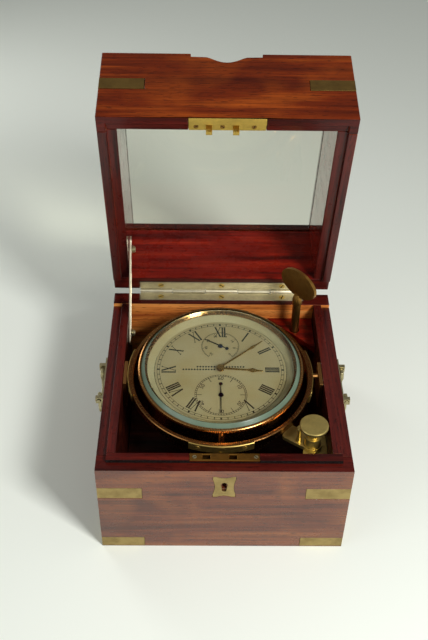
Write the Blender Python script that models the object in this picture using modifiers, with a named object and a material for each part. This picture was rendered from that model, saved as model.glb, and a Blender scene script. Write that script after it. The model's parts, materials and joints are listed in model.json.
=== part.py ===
"""Marine chronometer: a gimballed brass chronometer in a mahogany box with a glazed lid.

Metres, +Z up. The origin is the centre of the box's underside, +X is to the right and +Y to the back.
The lid stands open on its stay, as it does while the dial is read.
"""

import math

import bmesh
import bpy
from mathutils import Matrix, Vector

# ---- driving dimensions ------------------------------------------------------------------------------------------
WIDTH = 0.184
DEPTH = 0.193
BASE_HEIGHT = 0.0925
LID_HEIGHT = 0.068
WALL = 0.014
FLOOR = 0.008
GAP = 0.0003  # room between pieces that touch
LID_OPEN = math.radians(78.0)
HINGE_BACK = 0.003  # the hinge line stands this far behind the back face

HALF_W = WIDTH / 2
HALF_D = DEPTH / 2
IN_X = HALF_W - WALL
IN_Y = HALF_D - WALL
HINGE = Vector((0.0, HALF_D + HINGE_BACK, BASE_HEIGHT))

# The base's rim stands up as an inner lip, and the lid's rim reaches down outside it.
STEP = 0.003
LIP_OUT = 0.0074  # from the outer face to the base's lip
LID_LIP = 0.0067  # thickness of the lid's lip
RIM_CLEAR = 0.0006

# Glass in the lid, in a rebate from above, under a bead.
GLASS_UP = 0.0555
GLASS_THICK = 0.0025
REBATE = 0.0035
BEAD = 0.006

# Corner straps of inlaid brass.
STRAP_LONG = 0.0325
STRAP_THICK = 0.0012
LOWER_STRAP = (0.0006, 0.0106)
UPPER_STRAP = (0.0585, 0.0698)
LID_STRAP = (BASE_HEIGHT + 0.0277, BASE_HEIGHT + 0.0390)

# The long hinge along the back rims.
HINGE_HALF = 0.070
HINGE_LEAF = 0.0085
LEAF_THICK = 0.0016
KNUCKLE_R = 0.0026
PIN_R = 0.0010
KNUCKLES = 5

# The lock: a plate on the base's lip with two holes, which the lid's two hooks enter.
LOCK_PLATE_HALF = 0.0250
LOCK_PLATE_THICK = 0.0014
HOOKS_X = (-0.0130, 0.0060)
HOOK_LONG = 0.0070
HOOK_WIDE = 0.0044
HOOK_DEEP = 0.0026
HOOK_NOTCH = 0.0028
HOOK_CLEAR = 0.0004  # from a bolt finger to its hook when unlocked
SOCKET = (0.0056, 0.0039)
LOCK_CASE = (0.0220, 0.0052, 0.0180)

# Gimbal and bowl: heights are from the gimbal centre, before the ring tips forward.
GIMBAL = Vector((-0.002, 0.0, 0.089))
RING_TIP = math.radians(4)
RING_IN = 0.0680
RING_OUT = 0.0713
PAD_OUT = 0.0726
RING_HALF = 0.0035
TRUNNION = 0.0020
BRACKET = 0.003
BOWL_R = 0.0600
BOWL_RIM = 0.0082
BOWL_SIDE = -0.0180
BOWL_FLOOR = -0.0450
BOWL_FLOOR_R = 0.0400
BOWL_WALL = 0.0016
BEZEL_R = 0.0644
DIAL_R = 0.0515
DIAL_Z = -0.0060  # from the movement's level
MOVEMENT_UP = 0.0110
SUB_SECONDS = Vector((0.0, -0.0255, 0.0))
SUB_UPDOWN = Vector((0.0, 0.0250, 0.0))

# The stay turns on the lid at one end and slides on a screw in the base.
# Both are as far from the hinge line, so the stay always points at its base screw as it turns half as
# far as the lid.
STAY_REACH = 0.0430
STAY_ANGLE = math.radians(15.0)
STAY_LID = HINGE + STAY_REACH * Vector((0.0, -math.cos(STAY_ANGLE), math.sin(STAY_ANGLE)))
STAY_BASE = HINGE + STAY_REACH * Vector((0.0, -math.cos(STAY_ANGLE), -math.sin(STAY_ANGLE)))
STAY_WIDE = 0.0080
STAY_THICK = 0.0014
STAY_X = -IN_X + 0.0006
STAY_SLOT = 0.0032
STAY_BEYOND = 0.0110

# Gimbal lock in the right front corner.
LOCK_POST = Vector((0.0665, -0.0565, 0.0))
ARM_TOP = 0.0745
ARM_THICK = 0.0030
ARM_LONG = 0.0225
ARM_TURN = math.radians(146)
POST_R = 0.0064
POST_TOP = 0.0825

# Winding key in its corner shelf.
KEY_FOOT = Vector((0.0620, 0.0675, 0.0))
KEY_TURN = math.radians(-48)
SHELF_TOP = 0.0775
SHELF_THICK = 0.0060
SHELF_SIDE = 0.0380
KEY_HEAD = 0.1275
KEY_OVAL = (0.0185, 0.0125)  # half length and half height of the head
KEY_THICK = 0.0026

# Drop handles, let into the side boards.
HANDLE_Z = 0.0800
HANDLE_HALF = 0.0180
HANDLE_OUT = 0.0042
BAIL_R = 0.0017

# Movement: heights are from its own level, MOVEMENT_UP over the gimbal centre; places from the dial centre.
WINDING = Vector((-0.0240, 0.0160, 0.0))
PILLAR_PLATE = (-0.0112, -0.0088)
TOP_PLATE = (-0.0330, -0.0310)
PLATE_R = 0.0490
THIRD = Vector((-0.0070, -0.0134, 0.0))
ESCAPE = Vector((0.0100, -0.0318, 0.0))
BALANCE = Vector((0.0150, -0.0140, 0.0))
BARREL = Vector((0.0230, 0.0200, 0.0))
PILLARS = (-112, -15, 92, 190)  # where the four pillars stand around the plates

# Where the hands point at rest, in degrees clockwise from twelve.
HANDS = {"hour_hand": 94.5, "minute_hand": 50.0, "seconds_hand": 180.0, "updown_hand": -60.0}

COLOURS = {
    "mahogany": (0.20, 0.035, 0.015, 0.35, 0.0),
    "brass": (0.62, 0.44, 0.17, 0.30, 1.0),
    "pale_brass": (0.60, 0.55, 0.40, 0.35, 1.0),
    "silvered": (0.55, 0.52, 0.42, 0.45, 0.7),
    "gilt": (0.75, 0.52, 0.16, 0.25, 1.0),
    "blued": (0.02, 0.03, 0.10, 0.25, 1.0),
    "glass": (0.80, 0.90, 0.85, 0.05, 0.0),
    "steel": (0.45, 0.45, 0.46, 0.30, 1.0),
}

parts = None
cutters = None


# ---- helpers -----------------------------------------------------------------------------------------------------
def material(name):
    """A Principled material, made once for each finish."""
    if name in bpy.data.materials:
        return bpy.data.materials[name]
    r, g, b, rough, metal = COLOURS[name]
    made = bpy.data.materials.new(name)
    made.use_nodes = True
    shader = made.node_tree.nodes["Principled BSDF"]
    shader.inputs["Base Color"].default_value = (r, g, b, 1.0)
    shader.inputs["Roughness"].default_value = rough
    shader.inputs["Metallic"].default_value = metal
    return made


def collection(name):
    made = bpy.data.collections.new(name)
    bpy.context.scene.collection.children.link(made)
    return made


def add(name, mesh, finish):
    """A part of the object."""
    obj = bpy.data.objects.new(name, mesh)
    parts.objects.link(obj)
    mesh.materials.append(material(finish))
    return obj


def as_cutter(obj):
    """Moves a made piece to the cutters, out of the model."""
    parts.objects.unlink(obj)
    cutters.objects.link(obj)
    obj.hide_render = True
    obj.display_type = "WIRE"
    return obj


def mesh_from(bm, name):
    mesh = bpy.data.meshes.new(name)
    bm.to_mesh(mesh)
    bm.free()
    return mesh


def box(name, low, high, finish="brass"):
    """A block between two corners."""
    low, high = Vector(low), Vector(high)
    bm = bmesh.new()
    bmesh.ops.create_cube(bm, size=1.0)
    bmesh.ops.scale(bm, vec=high - low, verts=bm.verts)
    bmesh.ops.translate(bm, vec=(low + high) / 2, verts=bm.verts)
    return add(name, mesh_from(bm, name), finish)


def rod(name, start, end, radius, finish="brass", sides=12, end_radius=None):
    """A round bar or cone from start to end."""
    start, end = Vector(start), Vector(end)
    run = end - start
    bm = bmesh.new()
    bmesh.ops.create_cone(
        bm,
        cap_ends=True,
        segments=sides,
        radius1=radius,
        radius2=radius if end_radius is None else end_radius,
        depth=run.length,
    )
    turn = run.to_track_quat("Z", "Y").to_matrix().to_4x4()
    bmesh.ops.transform(bm, matrix=Matrix.Translation((start + end) / 2) @ turn, verts=bm.verts)
    return add(name, mesh_from(bm, name), finish)


def turned(name, profile, finish="brass", steps=24, centre=(0, 0, 0), loop=False, angle=2 * math.pi):
    """A lathe-turned piece: profile is (radius, height) down its outer side, and loop makes it a ring."""
    mesh = bpy.data.meshes.new(name)
    points = [(r, 0.0, z) for r, z in profile]
    edges = [(i, i + 1) for i in range(len(points) - 1)]
    if loop:
        edges.append((len(points) - 1, 0))
    mesh.from_pydata(points, edges, [])
    obj = add(name, mesh, finish)
    obj.location = centre
    screw = obj.modifiers.new("turning", "SCREW")
    screw.axis = "Z"
    screw.angle = angle
    screw.steps = steps
    screw.render_steps = steps
    screw.use_merge_vertices = True
    screw.merge_threshold = 0.00001
    return obj


def outline(name, points, thick, finish="brass", holes=()):
    """A flat plate in XY with holes, thick about z = 0, from 2D curves made into a mesh."""
    curve = bpy.data.curves.new(name, "CURVE")
    curve.dimensions = "2D"
    curve.fill_mode = "BOTH"
    curve.extrude = thick / 2
    for ring in [points, *holes]:
        spline = curve.splines.new("POLY")
        spline.points.add(len(ring) - 1)
        spline.use_cyclic_u = True
        for point, (x, y) in zip(spline.points, ring):
            point.co = (x, y, 0.0, 1.0)
    source = bpy.data.objects.new(name + "_outline", curve)
    parts.objects.link(source)
    depsgraph = bpy.context.evaluated_depsgraph_get()
    mesh = bpy.data.meshes.new_from_object(source.evaluated_get(depsgraph))
    bpy.data.objects.remove(source)
    bm = bmesh.new()
    bm.from_mesh(mesh)
    bmesh.ops.remove_doubles(bm, verts=bm.verts, dist=0.00001)
    bmesh.ops.recalc_face_normals(bm, faces=bm.faces)
    mesh.materials.clear()
    bm.to_mesh(mesh)
    bm.free()
    return add(name, mesh, finish)


def section(name, points, half, finish="brass"):
    """A bar with one section along X: points are (y, z)."""
    bar = outline(name, points, 2 * half, finish)
    bar.rotation_euler = (math.radians(90), 0, math.radians(90))
    return bar


def circle(radius, count, x=0.0, y=0.0):
    return [
        (x + radius * math.cos(2 * math.pi * i / count), y + radius * math.sin(2 * math.pi * i / count))
        for i in range(count)
    ]


def boolean(target, other, operation):
    """Joins other to target, or cuts it out, and keeps the result as target's own mesh."""
    bpy.context.view_layer.update()
    modifier = target.modifiers.new("boolean", "BOOLEAN")
    modifier.operation = operation
    modifier.solver = "EXACT"
    modifier.object = other
    depsgraph = bpy.context.evaluated_depsgraph_get()
    mesh = bpy.data.meshes.new_from_object(target.evaluated_get(depsgraph))
    target.modifiers.clear()
    target.data = mesh
    as_cutter(other)


def cut(target, *others):
    for other in others:
        boolean(target, other, "DIFFERENCE")
    return target


def join(target, *others):
    for other in others:
        boolean(target, other, "UNION")
    return target


def pivot(name, place, parent=None, rotation=(0, 0, 0)):
    """An empty on a joint's axis."""
    empty = bpy.data.objects.new(name, None)
    empty.location = place
    empty.rotation_euler = rotation
    parts.objects.link(empty)
    if parent:
        empty.parent = parent
    return empty


def hang(empty, closed_place, *objects):
    """Parents pieces, made where they stand with the lid shut, to the empty on their axis."""
    for obj in objects:
        obj.parent = empty
        obj.matrix_parent_inverse = Matrix.Translation(-Vector(closed_place))


# ---- the box -----------------------------------------------------------------------------------------------------
def four_boards(tag, low, top):
    """Front, back, left and right boards. The front and back run the full width."""
    side_y = IN_Y - GAP
    return (
        box(tag + "_front", (-HALF_W, -HALF_D, low), (HALF_W, -IN_Y, top), "mahogany"),
        box(tag + "_back", (-HALF_W, IN_Y, low), (HALF_W, HALF_D, top), "mahogany"),
        box(tag + "_left", (-HALF_W, -side_y, low), (-IN_X, side_y, top), "mahogany"),
        box(tag + "_right", (IN_X, -side_y, low), (HALF_W, side_y, top), "mahogany"),
    )


def base_boards():
    """The base: its rim is stepped, so that a lip stands up inside at the front and the sides."""
    front, back, left, right = four_boards("base", 0.0, BASE_HEIGHT)
    shoulder = BASE_HEIGHT - STEP
    clear = 0.01
    lip_x, lip_y = HALF_W - LIP_OUT, HALF_D - LIP_OUT
    for piece in (front, left, right):
        for side in (-1, 1):
            x = sorted((side * lip_x, side * (HALF_W + clear)))
            low, high = (x[0], -HALF_D - clear, shoulder), (x[1], IN_Y - GAP / 2, BASE_HEIGHT + clear)
            cut(piece, box("shoulder", low, high))
    low, high = (-HALF_W - clear, -HALF_D - clear, shoulder), (HALF_W + clear, -lip_y, BASE_HEIGHT + clear)
    cut(front, box("shoulder", low, high))
    edge_x, edge_y = IN_X - GAP, IN_Y - GAP
    box("base_bottom", (-edge_x, -edge_y, 0.0), (edge_x, edge_y, FLOOR), "mahogany")
    return front, back, left, right


def lid_boards():
    """The glazed lid, made where it stands when shut: its lip reaches down outside the base's."""
    top = BASE_HEIGHT + LID_HEIGHT
    front, back, left, right = four_boards("lid", BASE_HEIGHT - STEP + GAP, top)
    clear = 0.01
    inner_x, inner_y = HALF_W - LID_LIP, HALF_D - LID_LIP
    for piece in (front, left, right):
        low = (-inner_x, -inner_y, BASE_HEIGHT - clear)
        cut(piece, box("step", low, (inner_x, IN_Y + clear, BASE_HEIGHT + GAP)))
    low = (-HALF_W - clear, IN_Y - clear, BASE_HEIGHT - clear)
    cut(back, box("step", low, (HALF_W + clear, HALF_D + clear, BASE_HEIGHT + GAP)))
    seat = BASE_HEIGHT + GLASS_UP
    edge_x, edge_y = IN_X + REBATE, IN_Y + REBATE
    for piece in (front, back, left, right):
        cut(piece, box("rebate", (-edge_x, -edge_y, seat), (edge_x, edge_y, top + clear)))
    cut(front, thumb_notch(top))
    return front, back, left, right


def thumb_notch(top):
    """A shallow recess along the lid's top front edge, with a deeper flowing notch for the thumb."""
    half, shallow, thumb_half, thumb_deep, above = 0.0265, 0.0034, 0.0150, 0.0060, 0.01
    lead = 0.0004
    across = [-1 + i / 6 for i in range(13)]
    curve = [(thumb_half * t, -shallow - lead - thumb_deep * (1 - t * t) ** 1.5) for t in across]
    points = [(-half, above), (-half, -shallow), *curve, (half, -shallow), (half, above)]
    notch = outline("thumb_notch", points, 2 * WALL + 0.002)
    notch.location = (0.0, -HALF_D, top)
    notch.rotation_euler = (math.radians(90), 0, 0)
    return notch


def glazing():
    """The pane in its rebate, and the bead that holds it down."""
    low = BASE_HEIGHT + GLASS_UP + GAP
    edge_x, edge_y = IN_X + REBATE - GAP, IN_Y + REBATE - GAP
    pane = box("lid_glass", (-edge_x, -edge_y, low), (edge_x, edge_y, low + GLASS_THICK), "glass")
    low += GLASS_THICK + GAP
    bead = box("glass_bead", (-edge_x, -edge_y, low), (edge_x, edge_y, low + BEAD), "mahogany")
    cut(bead, box("bead_hole", (-IN_X, -IN_Y, low - BEAD), (IN_X, IN_Y, low + 2 * BEAD)))
    return pane, bead


def corner_strap(name, side, levels, room=0.0):
    """An L of brass around a front corner, flush with both faces. side is -1 at the left.

    With room, it is the recess that the strap lies in.
    """
    out = 0.01 if room else 0.0
    low, high = levels[0] - room, levels[1] + room
    long, thick = STRAP_LONG + room, STRAP_THICK + room
    x = sorted((side * (HALF_W + out), side * (HALF_W - long)))
    strap = box(name, (x[0], -HALF_D - out, low), (x[1], -HALF_D + thick, high))
    x = sorted((side * (HALF_W + out), side * (HALF_W - thick)))
    leg = box(name + "_leg", (x[0], -HALF_D - out, low), (x[1], -HALF_D + long, high))
    return join(strap, leg)


def straps(boards, levels, tag):
    """The two front straps of one level, let into the boards they cross."""
    front, _, left, right = boards
    made = []
    for side, side_name, short_board in ((-1, "left", left), (1, "right", right)):
        for piece in (front, short_board):
            cut(piece, corner_strap("strap_room", side, levels, GAP))
        made.append(corner_strap("strap_%s_%s" % (tag, side_name), side, levels))
    return made


# ---- hinge, lock and handles -------------------------------------------------------------------------------------
def hinge(base_back, lid_back):
    """A long hinge: its leaves lie flush in the back rims, and knuckles of each take turns on the pin."""
    leaves = []
    length = 2 * HINGE_HALF / KNUCKLES
    for tag, board_piece, first, low in (
        ("base", base_back, 0, BASE_HEIGHT - LEAF_THICK),
        ("lid", lid_back, 1, BASE_HEIGHT + GAP),
    ):
        high = low + LEAF_THICK
        seat_low = low - GAP if tag == "base" else low - 0.01
        seat_high = high + 0.01 if tag == "base" else high + GAP
        front = HALF_D - HINGE_LEAF
        room = ((-HINGE_HALF - GAP, front - GAP, seat_low), (HINGE_HALF + GAP, HALF_D + 0.01, seat_high))
        cut(board_piece, box("leaf_seat", *room))
        leaf = box("hinge_leaf_" + tag, (-HINGE_HALF, front, low), (HINGE_HALF, HALF_D, high), "pale_brass")
        for i in range(first, KNUCKLES, 2):
            start = -HINGE_HALF + i * length + GAP
            end = start + length - 2 * GAP
            join(leaf, box("bridge", (start, HALF_D - LEAF_THICK, low), (end, HINGE.y, high)))
            join(leaf, rod("knuckle", (start, HINGE.y, HINGE.z), (end, HINGE.y, HINGE.z), KNUCKLE_R))
        reach = HINGE_HALF + 0.01
        cut(leaf, rod("bore", (-reach, HINGE.y, HINGE.z), (reach, HINGE.y, HINGE.z), PIN_R + GAP))
        leaves.append(leaf)
    rod("hinge_pin", (-HINGE_HALF, HINGE.y, HINGE.z), (HINGE_HALF, HINGE.y, HINGE.z), PIN_R)
    return leaves


def lip_middle():
    """The y of the middle of the base's front lip."""
    return -HALF_D + (LIP_OUT + WALL) / 2


def lock(base_front):
    """The box lock in the base: a plate and a case with a chamber, and the bolt that slides in it."""
    y = lip_middle()
    half_x, deep, tall = LOCK_CASE[0], LOCK_CASE[1] / 2, LOCK_CASE[2]
    top = BASE_HEIGHT
    under = top - LOCK_PLATE_THICK
    plate_y = (-HALF_D + LIP_OUT, -IN_Y)
    body = box("box_lock", (-LOCK_PLATE_HALF, plate_y[0], under), (LOCK_PLATE_HALF, plate_y[1], top))
    join(body, box("case", (-half_x, y - deep, under - tall), (half_x, y + deep, under + LOCK_PLATE_THICK / 2)))
    socket_x, socket_y = SOCKET[0] / 2, SOCKET[1] / 2
    chamber = (half_x - 0.002, socket_y, 0.012)
    low = (-chamber[0], y - chamber[1], under - chamber[2])
    cut(body, box("chamber", low, (chamber[0], y + chamber[1], under)))
    for x in HOOKS_X:
        low = (x - socket_x, y - socket_y, under - LOCK_PLATE_THICK)
        cut(body, box("socket", low, (x + socket_x, y + socket_y, top + 0.01)))
    room = 0.01
    side = LOCK_PLATE_HALF + GAP
    cut(base_front, box("plate_seat", (-side, plate_y[0] - room, under - GAP), (side, -IN_Y + room, top + room)))
    low = (-half_x - GAP, y - deep - GAP, under - tall - GAP)
    cut(base_front, box("mortise", low, (half_x + GAP, y + deep + GAP, top + room)))
    key_low = (-0.0016, -HALF_D - room, UPPER_STRAP[1] - 0.001)
    cut(base_front, box("keyhole", key_low, (0.0016, y, UPPER_STRAP[1] + 0.0075)))
    return body


def lock_bolt():
    """A comb of two fingers on a rail. The fingers slide sideways into the hooks' notches."""
    y = lip_middle()
    rail = (BASE_HEIGHT - 0.0120, BASE_HEIGHT - 0.0096)
    thick = 0.0016
    finger_z = (BASE_HEIGHT - 0.0062, BASE_HEIGHT - 0.0046)
    post, reach = 0.0012, 0.0042
    start = HOOKS_X[0] - HOOK_WIDE / 2 - HOOK_CLEAR - reach
    end = HOOKS_X[1] + HOOK_WIDE / 2 + 0.0030
    bolt = box("lock_bolt", (start, y - thick, rail[0]), (end, y + thick, rail[1]), "steel")
    for x in HOOKS_X:
        tip = x - HOOK_WIDE / 2 - HOOK_CLEAR
        low = (tip - reach, y - thick / 2, rail[0] + 0.001)
        join(bolt, box("post", low, (tip - reach + post, y + thick / 2, finger_z[1])))
        join(bolt, box("finger", (tip - reach, y - thick / 2, finger_z[0]), (tip, y + thick / 2, finger_z[1])))
    return bolt


def link_plate(lid_front):
    """The lid's stepped lock plate, with two notched hooks that enter the base's lock."""
    half = 0.0273
    thick = 0.0014
    lip_z = BASE_HEIGHT - STEP + GAP
    step_z = BASE_HEIGHT + GAP
    lip_y = -HALF_D + LID_LIP
    edge = -HALF_D + 0.0006
    profile = [
        (edge, lip_z), (lip_y, lip_z), (lip_y, step_z), (-IN_Y, step_z), (-IN_Y, step_z + thick),
        (lip_y - thick, step_z + thick), (lip_y - thick, lip_z + thick), (edge, lip_z + thick),
    ]  # fmt: skip
    outer = section("link_plate", profile, half)
    room = 0.01
    back = lip_y - thick - GAP
    seat = [
        (edge - GAP, lip_z - room), (-IN_Y + room, lip_z - room), (-IN_Y + room, step_z + thick + GAP),
        (back, step_z + thick + GAP), (back, lip_z + thick + GAP), (edge - GAP, lip_z + thick + GAP),
    ]  # fmt: skip
    cut(lid_front, section("seat", seat, half + GAP))
    y = lip_middle()
    for x in HOOKS_X:
        wide, deep = HOOK_WIDE / 2, HOOK_DEEP / 2
        low = (x - wide, y - deep, BASE_HEIGHT - HOOK_LONG)
        join(outer, box("hook", low, (x + wide, y + deep, step_z + thick / 2)))
        low = (x - wide - room, y - room, BASE_HEIGHT - 0.0065)
        cut(outer, box("notch", low, (x - wide + HOOK_NOTCH, y + room, BASE_HEIGHT - 0.0043)))
    return outer


def escutcheon(base_front):
    """A shield around the keyhole, with hollow sides and eared corners, let in flush."""
    half_x, half_z, hollow, ear = 0.0082, 0.0112, 0.0014, 0.0028
    centre_z = 0.0718

    def side(a, b, depth, steps=5):
        """Points of a shallow arc from a towards b, hollowed towards the middle of the plate."""
        across = Vector((-(b - a).y, (b - a).x)).normalized() * depth
        return [a.lerp(b, i / steps) + across * math.sin(math.pi * i / steps) for i in range(steps)]

    ears = [
        (half_x, half_z - ear), (half_x, half_z), (half_x - ear, half_z),
        (-half_x + ear, half_z), (-half_x, half_z), (-half_x, half_z - ear),
        (-half_x, -half_z + ear), (-half_x, -half_z), (-half_x + ear, -half_z),
        (half_x - ear, -half_z), (half_x, -half_z), (half_x, -half_z + ear),
    ]  # fmt: skip
    ears = [Vector(p) for p in ears]
    points = []
    for i in range(0, 12, 3):
        points += [tuple(ears[i]), tuple(ears[i + 1])]
        points += [tuple(p) for p in side(ears[i + 2], ears[(i + 3) % 12], hollow)]
    key = [(x, y + 0.0024) for x, y in circle(0.0024, 8)]
    key = [p for p in key if p[1] > 0.0012] + [(-0.0014, -0.0052), (0.0014, -0.0052)]
    plate = outline("escutcheon", points, STRAP_THICK, "brass", [key])
    seat = outline("escutcheon_seat", [(x * 1.03, y * 1.03) for x, y in points], 2 * (STRAP_THICK + GAP))
    for piece, y in ((plate, -HALF_D + STRAP_THICK / 2), (seat, -HALF_D)):
        piece.rotation_euler = (math.radians(90), 0, 0)
        piece.location = (0.0, y, centre_z)
    cut(base_front, seat)
    return plate


def handle(side, name):
    """A drop handle: a plate with two posts, and a bail that hangs from them."""
    face = side * HALF_W
    y_half, z_half = HANDLE_HALF + 0.005, 0.0055
    x = sorted((face + side * GAP, face + side * (GAP + 0.0014)))
    plate = box("handle_plate_" + name, (x[0], -y_half, HANDLE_Z - z_half), (x[1], y_half, HANDLE_Z + z_half))
    axis_x = face + side * HANDLE_OUT
    for end in (-1, 1):
        y = end * HANDLE_HALF
        start, stop = sorted((face + side * (GAP + 0.0007), axis_x + side * 0.0026))
        eye = box("eye", (start, y - 0.0016, HANDLE_Z - 0.0028), (stop, y + 0.0016, HANDLE_Z + 0.0028))
        join(plate, eye)
        bore = rod("bore", (axis_x, y - 0.01, HANDLE_Z), (axis_x, y + 0.01, HANDLE_Z), BAIL_R + GAP, sides=10)
        cut(plate, bore)
    drop, inward = 0.0200, 0.0060
    route = [
        (-HANDLE_HALF - 0.0024, 0), (-HANDLE_HALF + inward, 0), (-HANDLE_HALF + inward + 0.0015, -0.0040),
        (-HANDLE_HALF + 0.0035, -0.0110), (-HANDLE_HALF + 0.0050, -0.0175), (-0.0085, -drop),
    ]  # fmt: skip
    route += [(-y, z) for y, z in reversed(route)]
    curve = bpy.data.curves.new("handle_" + name, "CURVE")
    curve.dimensions = "3D"
    curve.bevel_depth = BAIL_R
    curve.bevel_resolution = 1
    curve.use_fill_caps = True
    spline = curve.splines.new("POLY")
    spline.points.add(len(route) - 1)
    for point, (y, z) in zip(spline.points, route):
        point.co = (0.0, y, z, 1.0)
    bail = bpy.data.objects.new("handle_" + name, curve)
    parts.objects.link(bail)
    curve.materials.append(material("brass"))
    bail.location = (axis_x, 0.0, HANDLE_Z)
    return plate, bail


# ---- stay --------------------------------------------------------------------------------------------------------
def on_lid(point):
    """Where a point of the shut lid stands with the lid open."""
    return HINGE + Matrix.Rotation(-LID_OPEN, 3, "X") @ (Vector(point) - HINGE)


def stay_and_screws():
    """The slotted stay, and the screws it turns and slides on."""
    start = on_lid(STAY_LID)
    run = STAY_BASE - start
    length = run.length + 2 * STAY_BEYOND
    half = STAY_WIDE / 2
    slot_half = STAY_SLOT / 2
    ends = [(-math.cos(math.pi * i / 8) * half, math.sin(math.pi * i / 8) * half) for i in range(9)]
    top = [(x, y + STAY_BEYOND - half) for x, y in ends]
    foot = [(-x, -y - (length - STAY_BEYOND - half)) for x, y in ends]
    shut_length = (STAY_BASE - STAY_LID).length
    slot_top = -(shut_length - 0.0015)
    slot_foot = -run.length
    slot_ends = [(-math.cos(math.pi * i / 6) * slot_half, math.sin(math.pi * i / 6) * slot_half) for i in range(7)]
    slot = [(x, y + slot_top) for x, y in slot_ends] + [(-x, -y + slot_foot) for x, y in slot_ends]
    strip = outline("lid_stay", top + foot, STAY_THICK, "pale_brass", [slot, circle(0.0016, 10)])
    up = -run.normalized()
    across = up.cross(Vector((1, 0, 0)))
    turn = Matrix((across, up, Vector((1, 0, 0)))).transposed().to_4x4()
    strip.matrix_world = Matrix.Translation((STAY_X + STAY_THICK / 2, start.y, start.z)) @ turn
    made = []
    for name, place in (("stay_screw_lid", STAY_LID), ("stay_screw_base", STAY_BASE)):
        profile = [
            (0.0, 0.0048), (0.0016, 0.0046), (0.0026, 0.0036), (0.0027, 0.0028),
            (0.0035, 0.0026), (0.0035, 0.0024), (0.0013, 0.0024), (0.0013, -0.0002), (0.0, -0.0002),
        ]  # fmt: skip
        screw = turned(name, profile, "brass", 12)
        screw.rotation_euler = (0, math.radians(90), 0)
        screw.location = (-IN_X + GAP + 0.0002, place.y, place.z)
        made.append(screw)
    return strip, made


# ---- gimbal and its lock -----------------------------------------------------------------------------------------
def bracket(side, name):
    """A plate on the box's side with the pin that the ring turns on."""
    wall = side * (IN_X - GAP)
    x = sorted((wall, side * (IN_X - BRACKET)))
    low, high = GIMBAL.z - 0.022, GIMBAL.z + 0.003
    plate = box("gimbal_bracket_" + name, (x[0], -0.0125, low), (x[1], 0.0125, high))
    tip = GIMBAL.x + side * (RING_IN + 0.0004)
    join(plate, rod("pin", (wall - side * 0.001, 0, GIMBAL.z), (tip, 0, GIMBAL.z), TRUNNION))
    return plate


def gimbal_ring():
    """The ring, thicker at its four pivots, with a hole at each."""
    low, high = -RING_HALF, RING_HALF
    profile = [(RING_OUT, high), (RING_OUT, low), (RING_IN, low), (RING_IN, high)]
    ring = turned("gimbal_ring", profile, steps=48, loop=True)
    span = math.radians(39)
    for quarter in range(4):
        inside = RING_OUT - 0.0010
        pad_profile = [
            (PAD_OUT, high + 0.0004), (PAD_OUT, low - 0.0004), (inside, low - 0.0004), (inside, high + 0.0004)
        ]  # fmt: skip
        pad = turned("pad", pad_profile, steps=5, loop=True, angle=span)
        bpy.context.view_layer.update()
        depsgraph = bpy.context.evaluated_depsgraph_get()
        mesh = bpy.data.meshes.new_from_object(pad.evaluated_get(depsgraph))
        bm = bmesh.new()
        bm.from_mesh(mesh)
        bmesh.ops.holes_fill(bm, edges=bm.edges)
        bmesh.ops.recalc_face_normals(bm, faces=bm.faces)
        bmesh.ops.rotate(
            bm, matrix=Matrix.Rotation(quarter * math.pi / 2 - span / 2, 3, "Z"), verts=bm.verts
        )
        pad.modifiers.clear()
        bm.to_mesh(mesh)
        bm.free()
        pad.data = mesh
        join(ring, pad)
    for axis in (Vector((0.09, 0, 0)), Vector((0, 0.09, 0))):
        cut(ring, rod("pivot_holes", -axis, axis, TRUNNION + GAP, sides=12))
    return ring


def gimbal_lock():
    """A post on a corner plate, the arm that turns on it to hold the ring, and the clamping knob."""
    x, y = LOCK_POST.x, LOCK_POST.y
    corner_x, corner_y = IN_X - GAP, -IN_Y + GAP
    under = ARM_TOP - ARM_THICK - GAP
    points = [(corner_x, corner_y), (corner_x, y + 0.0100), (x - 0.0040, y + 0.0100), (x - 0.0105, corner_y)]
    foot = outline("lock_bracket", points, 0.0030)
    foot.location = (0, 0, under - 0.0015)
    join(foot, rod("post", (x, y, under - 0.001), (x, y, POST_TOP), POST_R, sides=20))
    cut(foot, rod("post_bore", (x, y, POST_TOP - 0.008), (x, y, POST_TOP + 0.01), 0.0024, sides=10))
    half, corner, boss = 0.0072, 0.0025, POST_R + 0.0012
    meet = math.asin(half / boss)
    tip = []
    for side in (-1, 1):
        for i in range(4):
            a = math.radians(side * 90 * (1 - i / 3 if side < 0 else i / 3))
            tip.append((ARM_LONG - corner + corner * math.cos(a), side * (half - corner) + corner * math.sin(a)))
    back = [meet + (2 * math.pi - 2 * meet) * i / 10 for i in range(11)]
    arm_points = tip + [(boss * math.cos(a), boss * math.sin(a)) for a in back]
    arm = outline("lock_arm", arm_points, ARM_THICK, "brass", [circle(POST_R + GAP, 20)])
    arm.rotation_euler = (0, 0, ARM_TURN)
    arm.location = (x, y, ARM_TOP - ARM_THICK / 2)
    stud_place = Vector((0.0565, -0.0543, 0))
    stud = [
        (0.0, 0.0160), (0.0018, 0.0156), (0.0025, 0.0140), (0.0016, 0.0122), (0.0014, 0.0070),
        (0.0022, 0.0030), (0.0024, 0.0), (0.0, -0.001),
    ]  # fmt: skip
    join(arm, turned("stud", stud, steps=12, centre=(stud_place.x, stud_place.y, ARM_TOP - 0.0005)))
    profile = [
        (0.0, 0.0125), (0.0102, 0.0125), (0.0107, 0.0119), (0.0107, 0.0099), (0.0098, 0.0092),
        (0.0050, 0.0084), (0.0038, 0.0062), (0.0046, GAP), (0.0020, GAP), (0.0020, -0.0070), (0.0, -0.0070),
    ]  # fmt: skip
    knob = turned("lock_knob", profile, steps=24, centre=(x, y, POST_TOP))
    return foot, arm, knob


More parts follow.
